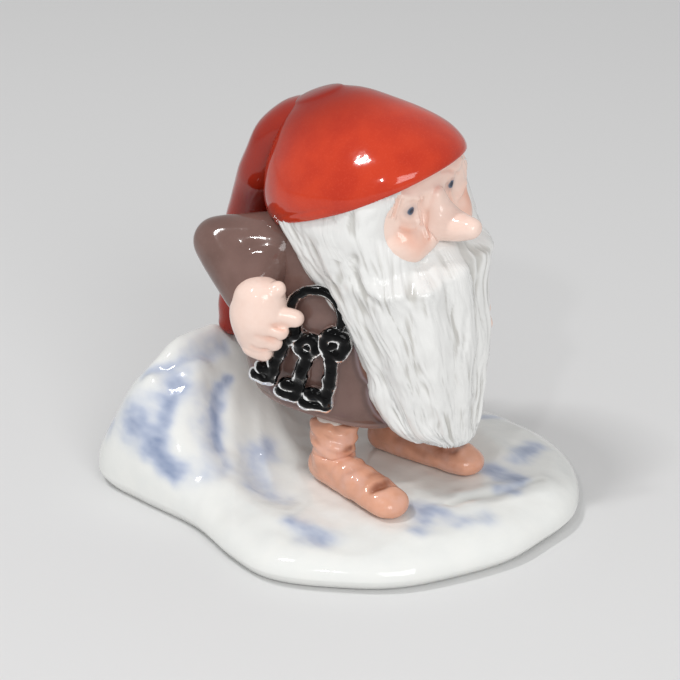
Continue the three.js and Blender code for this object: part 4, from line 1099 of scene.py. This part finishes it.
for name, around, swing, bow_radius, shank, bit_width in KEYS:
    end = -bow_radius - shank
    bpy.ops.object.select_all(action="DESELECT")
    bpy.ops.mesh.primitive_torus_add(
        major_radius=bow_radius, minor_radius=KEY_THICK * 0.68, major_segments=32, minor_segments=16)
    parts = [bpy.context.object]
    thick = SHANK_WIDTH * 1.25
    parts.append(bar("shank", (0, end + thick / 2, 0), (0, -bow_radius, 0), thick, thick))
    for low, long in TEETH:
        parts.append(bar("tooth", (0, end + low, 0), (-bit_width * long, end + low - TOOTH_DROP, 0),
                         TOOTH_THICK, TOOTH_THICK))
    key = lute(f"{name}_cast", parts, 0.16, 24)
    swell(key, 0.45 * grain(places(key), 0.45, around) + 0.35)
    around = math.radians(around)
    key.data.transform(RING_PLACE @ place(
        HOOK_REACH * math.sin(around), -HOOK_REACH * math.cos(around), KEY_LIFT, turn_z=swing))
    fire(key, black_glaze, "black_glaze", name)


# Floor, light and camera
# A plain pale floor, soft studio light with window-like lamps for the glaze's highlights, and
# the camera at the photograph's angle, in front of the elf's right shoulder.

PALE_PAPER = tint(226, 226, 226)
bpy.ops.object.select_all(action="DESELECT")
bpy.ops.mesh.primitive_plane_add(size=6)
floor = bpy.context.object
floor.name = "floor"
floor_material = bpy.data.materials.new("floor_paper")
floor_material.use_nodes = True
paper = floor_material.node_tree.nodes["Principled BSDF"]
paper.inputs["Base Color"].default_value = PALE_PAPER
paper.inputs["Roughness"].default_value = 0.7
floor.data.materials.append(floor_material)

PHOTO_WIDTH, FOCAL_PIXELS, SENSOR = 680, 2300, 36
CAMERA_TURN, CAMERA_RISE, CAMERA_AWAY = math.radians(-48), math.radians(25), 500
AIM = Vector((-13.8, 5.0, 46.0))
back = Vector((math.sin(CAMERA_TURN) * math.cos(CAMERA_RISE),
               -math.cos(CAMERA_TURN) * math.cos(CAMERA_RISE), math.sin(CAMERA_RISE)))
camera_data = bpy.data.cameras.new("camera")
camera_data.sensor_width = SENSOR
camera_data.lens = FOCAL_PIXELS / PHOTO_WIDTH * SENSOR
camera_data.clip_start = 0.01
camera = bpy.data.objects.new("camera", camera_data)
camera.location = (AIM - FIGURE_MIDDLE + back * CAMERA_AWAY) * MM
camera.rotation_euler = back.to_track_quat("Z", "Y").to_euler()
bpy.context.collection.objects.link(camera)
bpy.context.scene.camera = camera

# Name, direction that it shines from, distance, width and height in metres, power in watts
LAMPS = [
    ("window", (-0.446, 0.145, 0.883), 0.9, 0.04, 0.16, 2.4),
    ("flash", (-0.72, -0.35, 0.6), 1.0, 0.035, 0.045, 0.9),
    ("front", (-0.42, -0.8, 0.5), 1.2, 0.5, 0.5, 4.2),
]
for name, way, distance, width, height, power in LAMPS:
    light = bpy.data.lights.new(name, "AREA")
    light.shape, light.size, light.size_y, light.energy = "RECTANGLE", width, height, power
    lamp = bpy.data.objects.new(name, light)
    lamp.location = Vector(way).normalized() * distance + Vector((0, 0, 0.05))
    lamp.rotation_euler = Vector(way).to_track_quat("Z", "Y").to_euler()
    bpy.context.collection.objects.link(lamp)

WORLD_LIGHT = 0.64
world = bpy.data.worlds.new("studio")
bpy.context.scene.world = world
world.use_nodes = True
sky = world.node_tree
sky.nodes.clear()
path = sky.nodes.new("ShaderNodeLightPath")
soft = sky.nodes.new("ShaderNodeBackground")
soft.inputs["Strength"].default_value = WORLD_LIGHT
seen = sky.nodes.new("ShaderNodeBackground")
seen.inputs["Color"].default_value = PALE_PAPER
mixed = sky.nodes.new("ShaderNodeMixShader")
out = sky.nodes.new("ShaderNodeOutputWorld")
sky.links.new(path.outputs["Is Camera Ray"], mixed.inputs["Fac"])
sky.links.new(soft.outputs[0], mixed.inputs[1])
sky.links.new(seen.outputs[0], mixed.inputs[2])
sky.links.new(mixed.outputs[0], out.inputs["Surface"])

bpy.context.scene.view_settings.view_transform = "Standard"
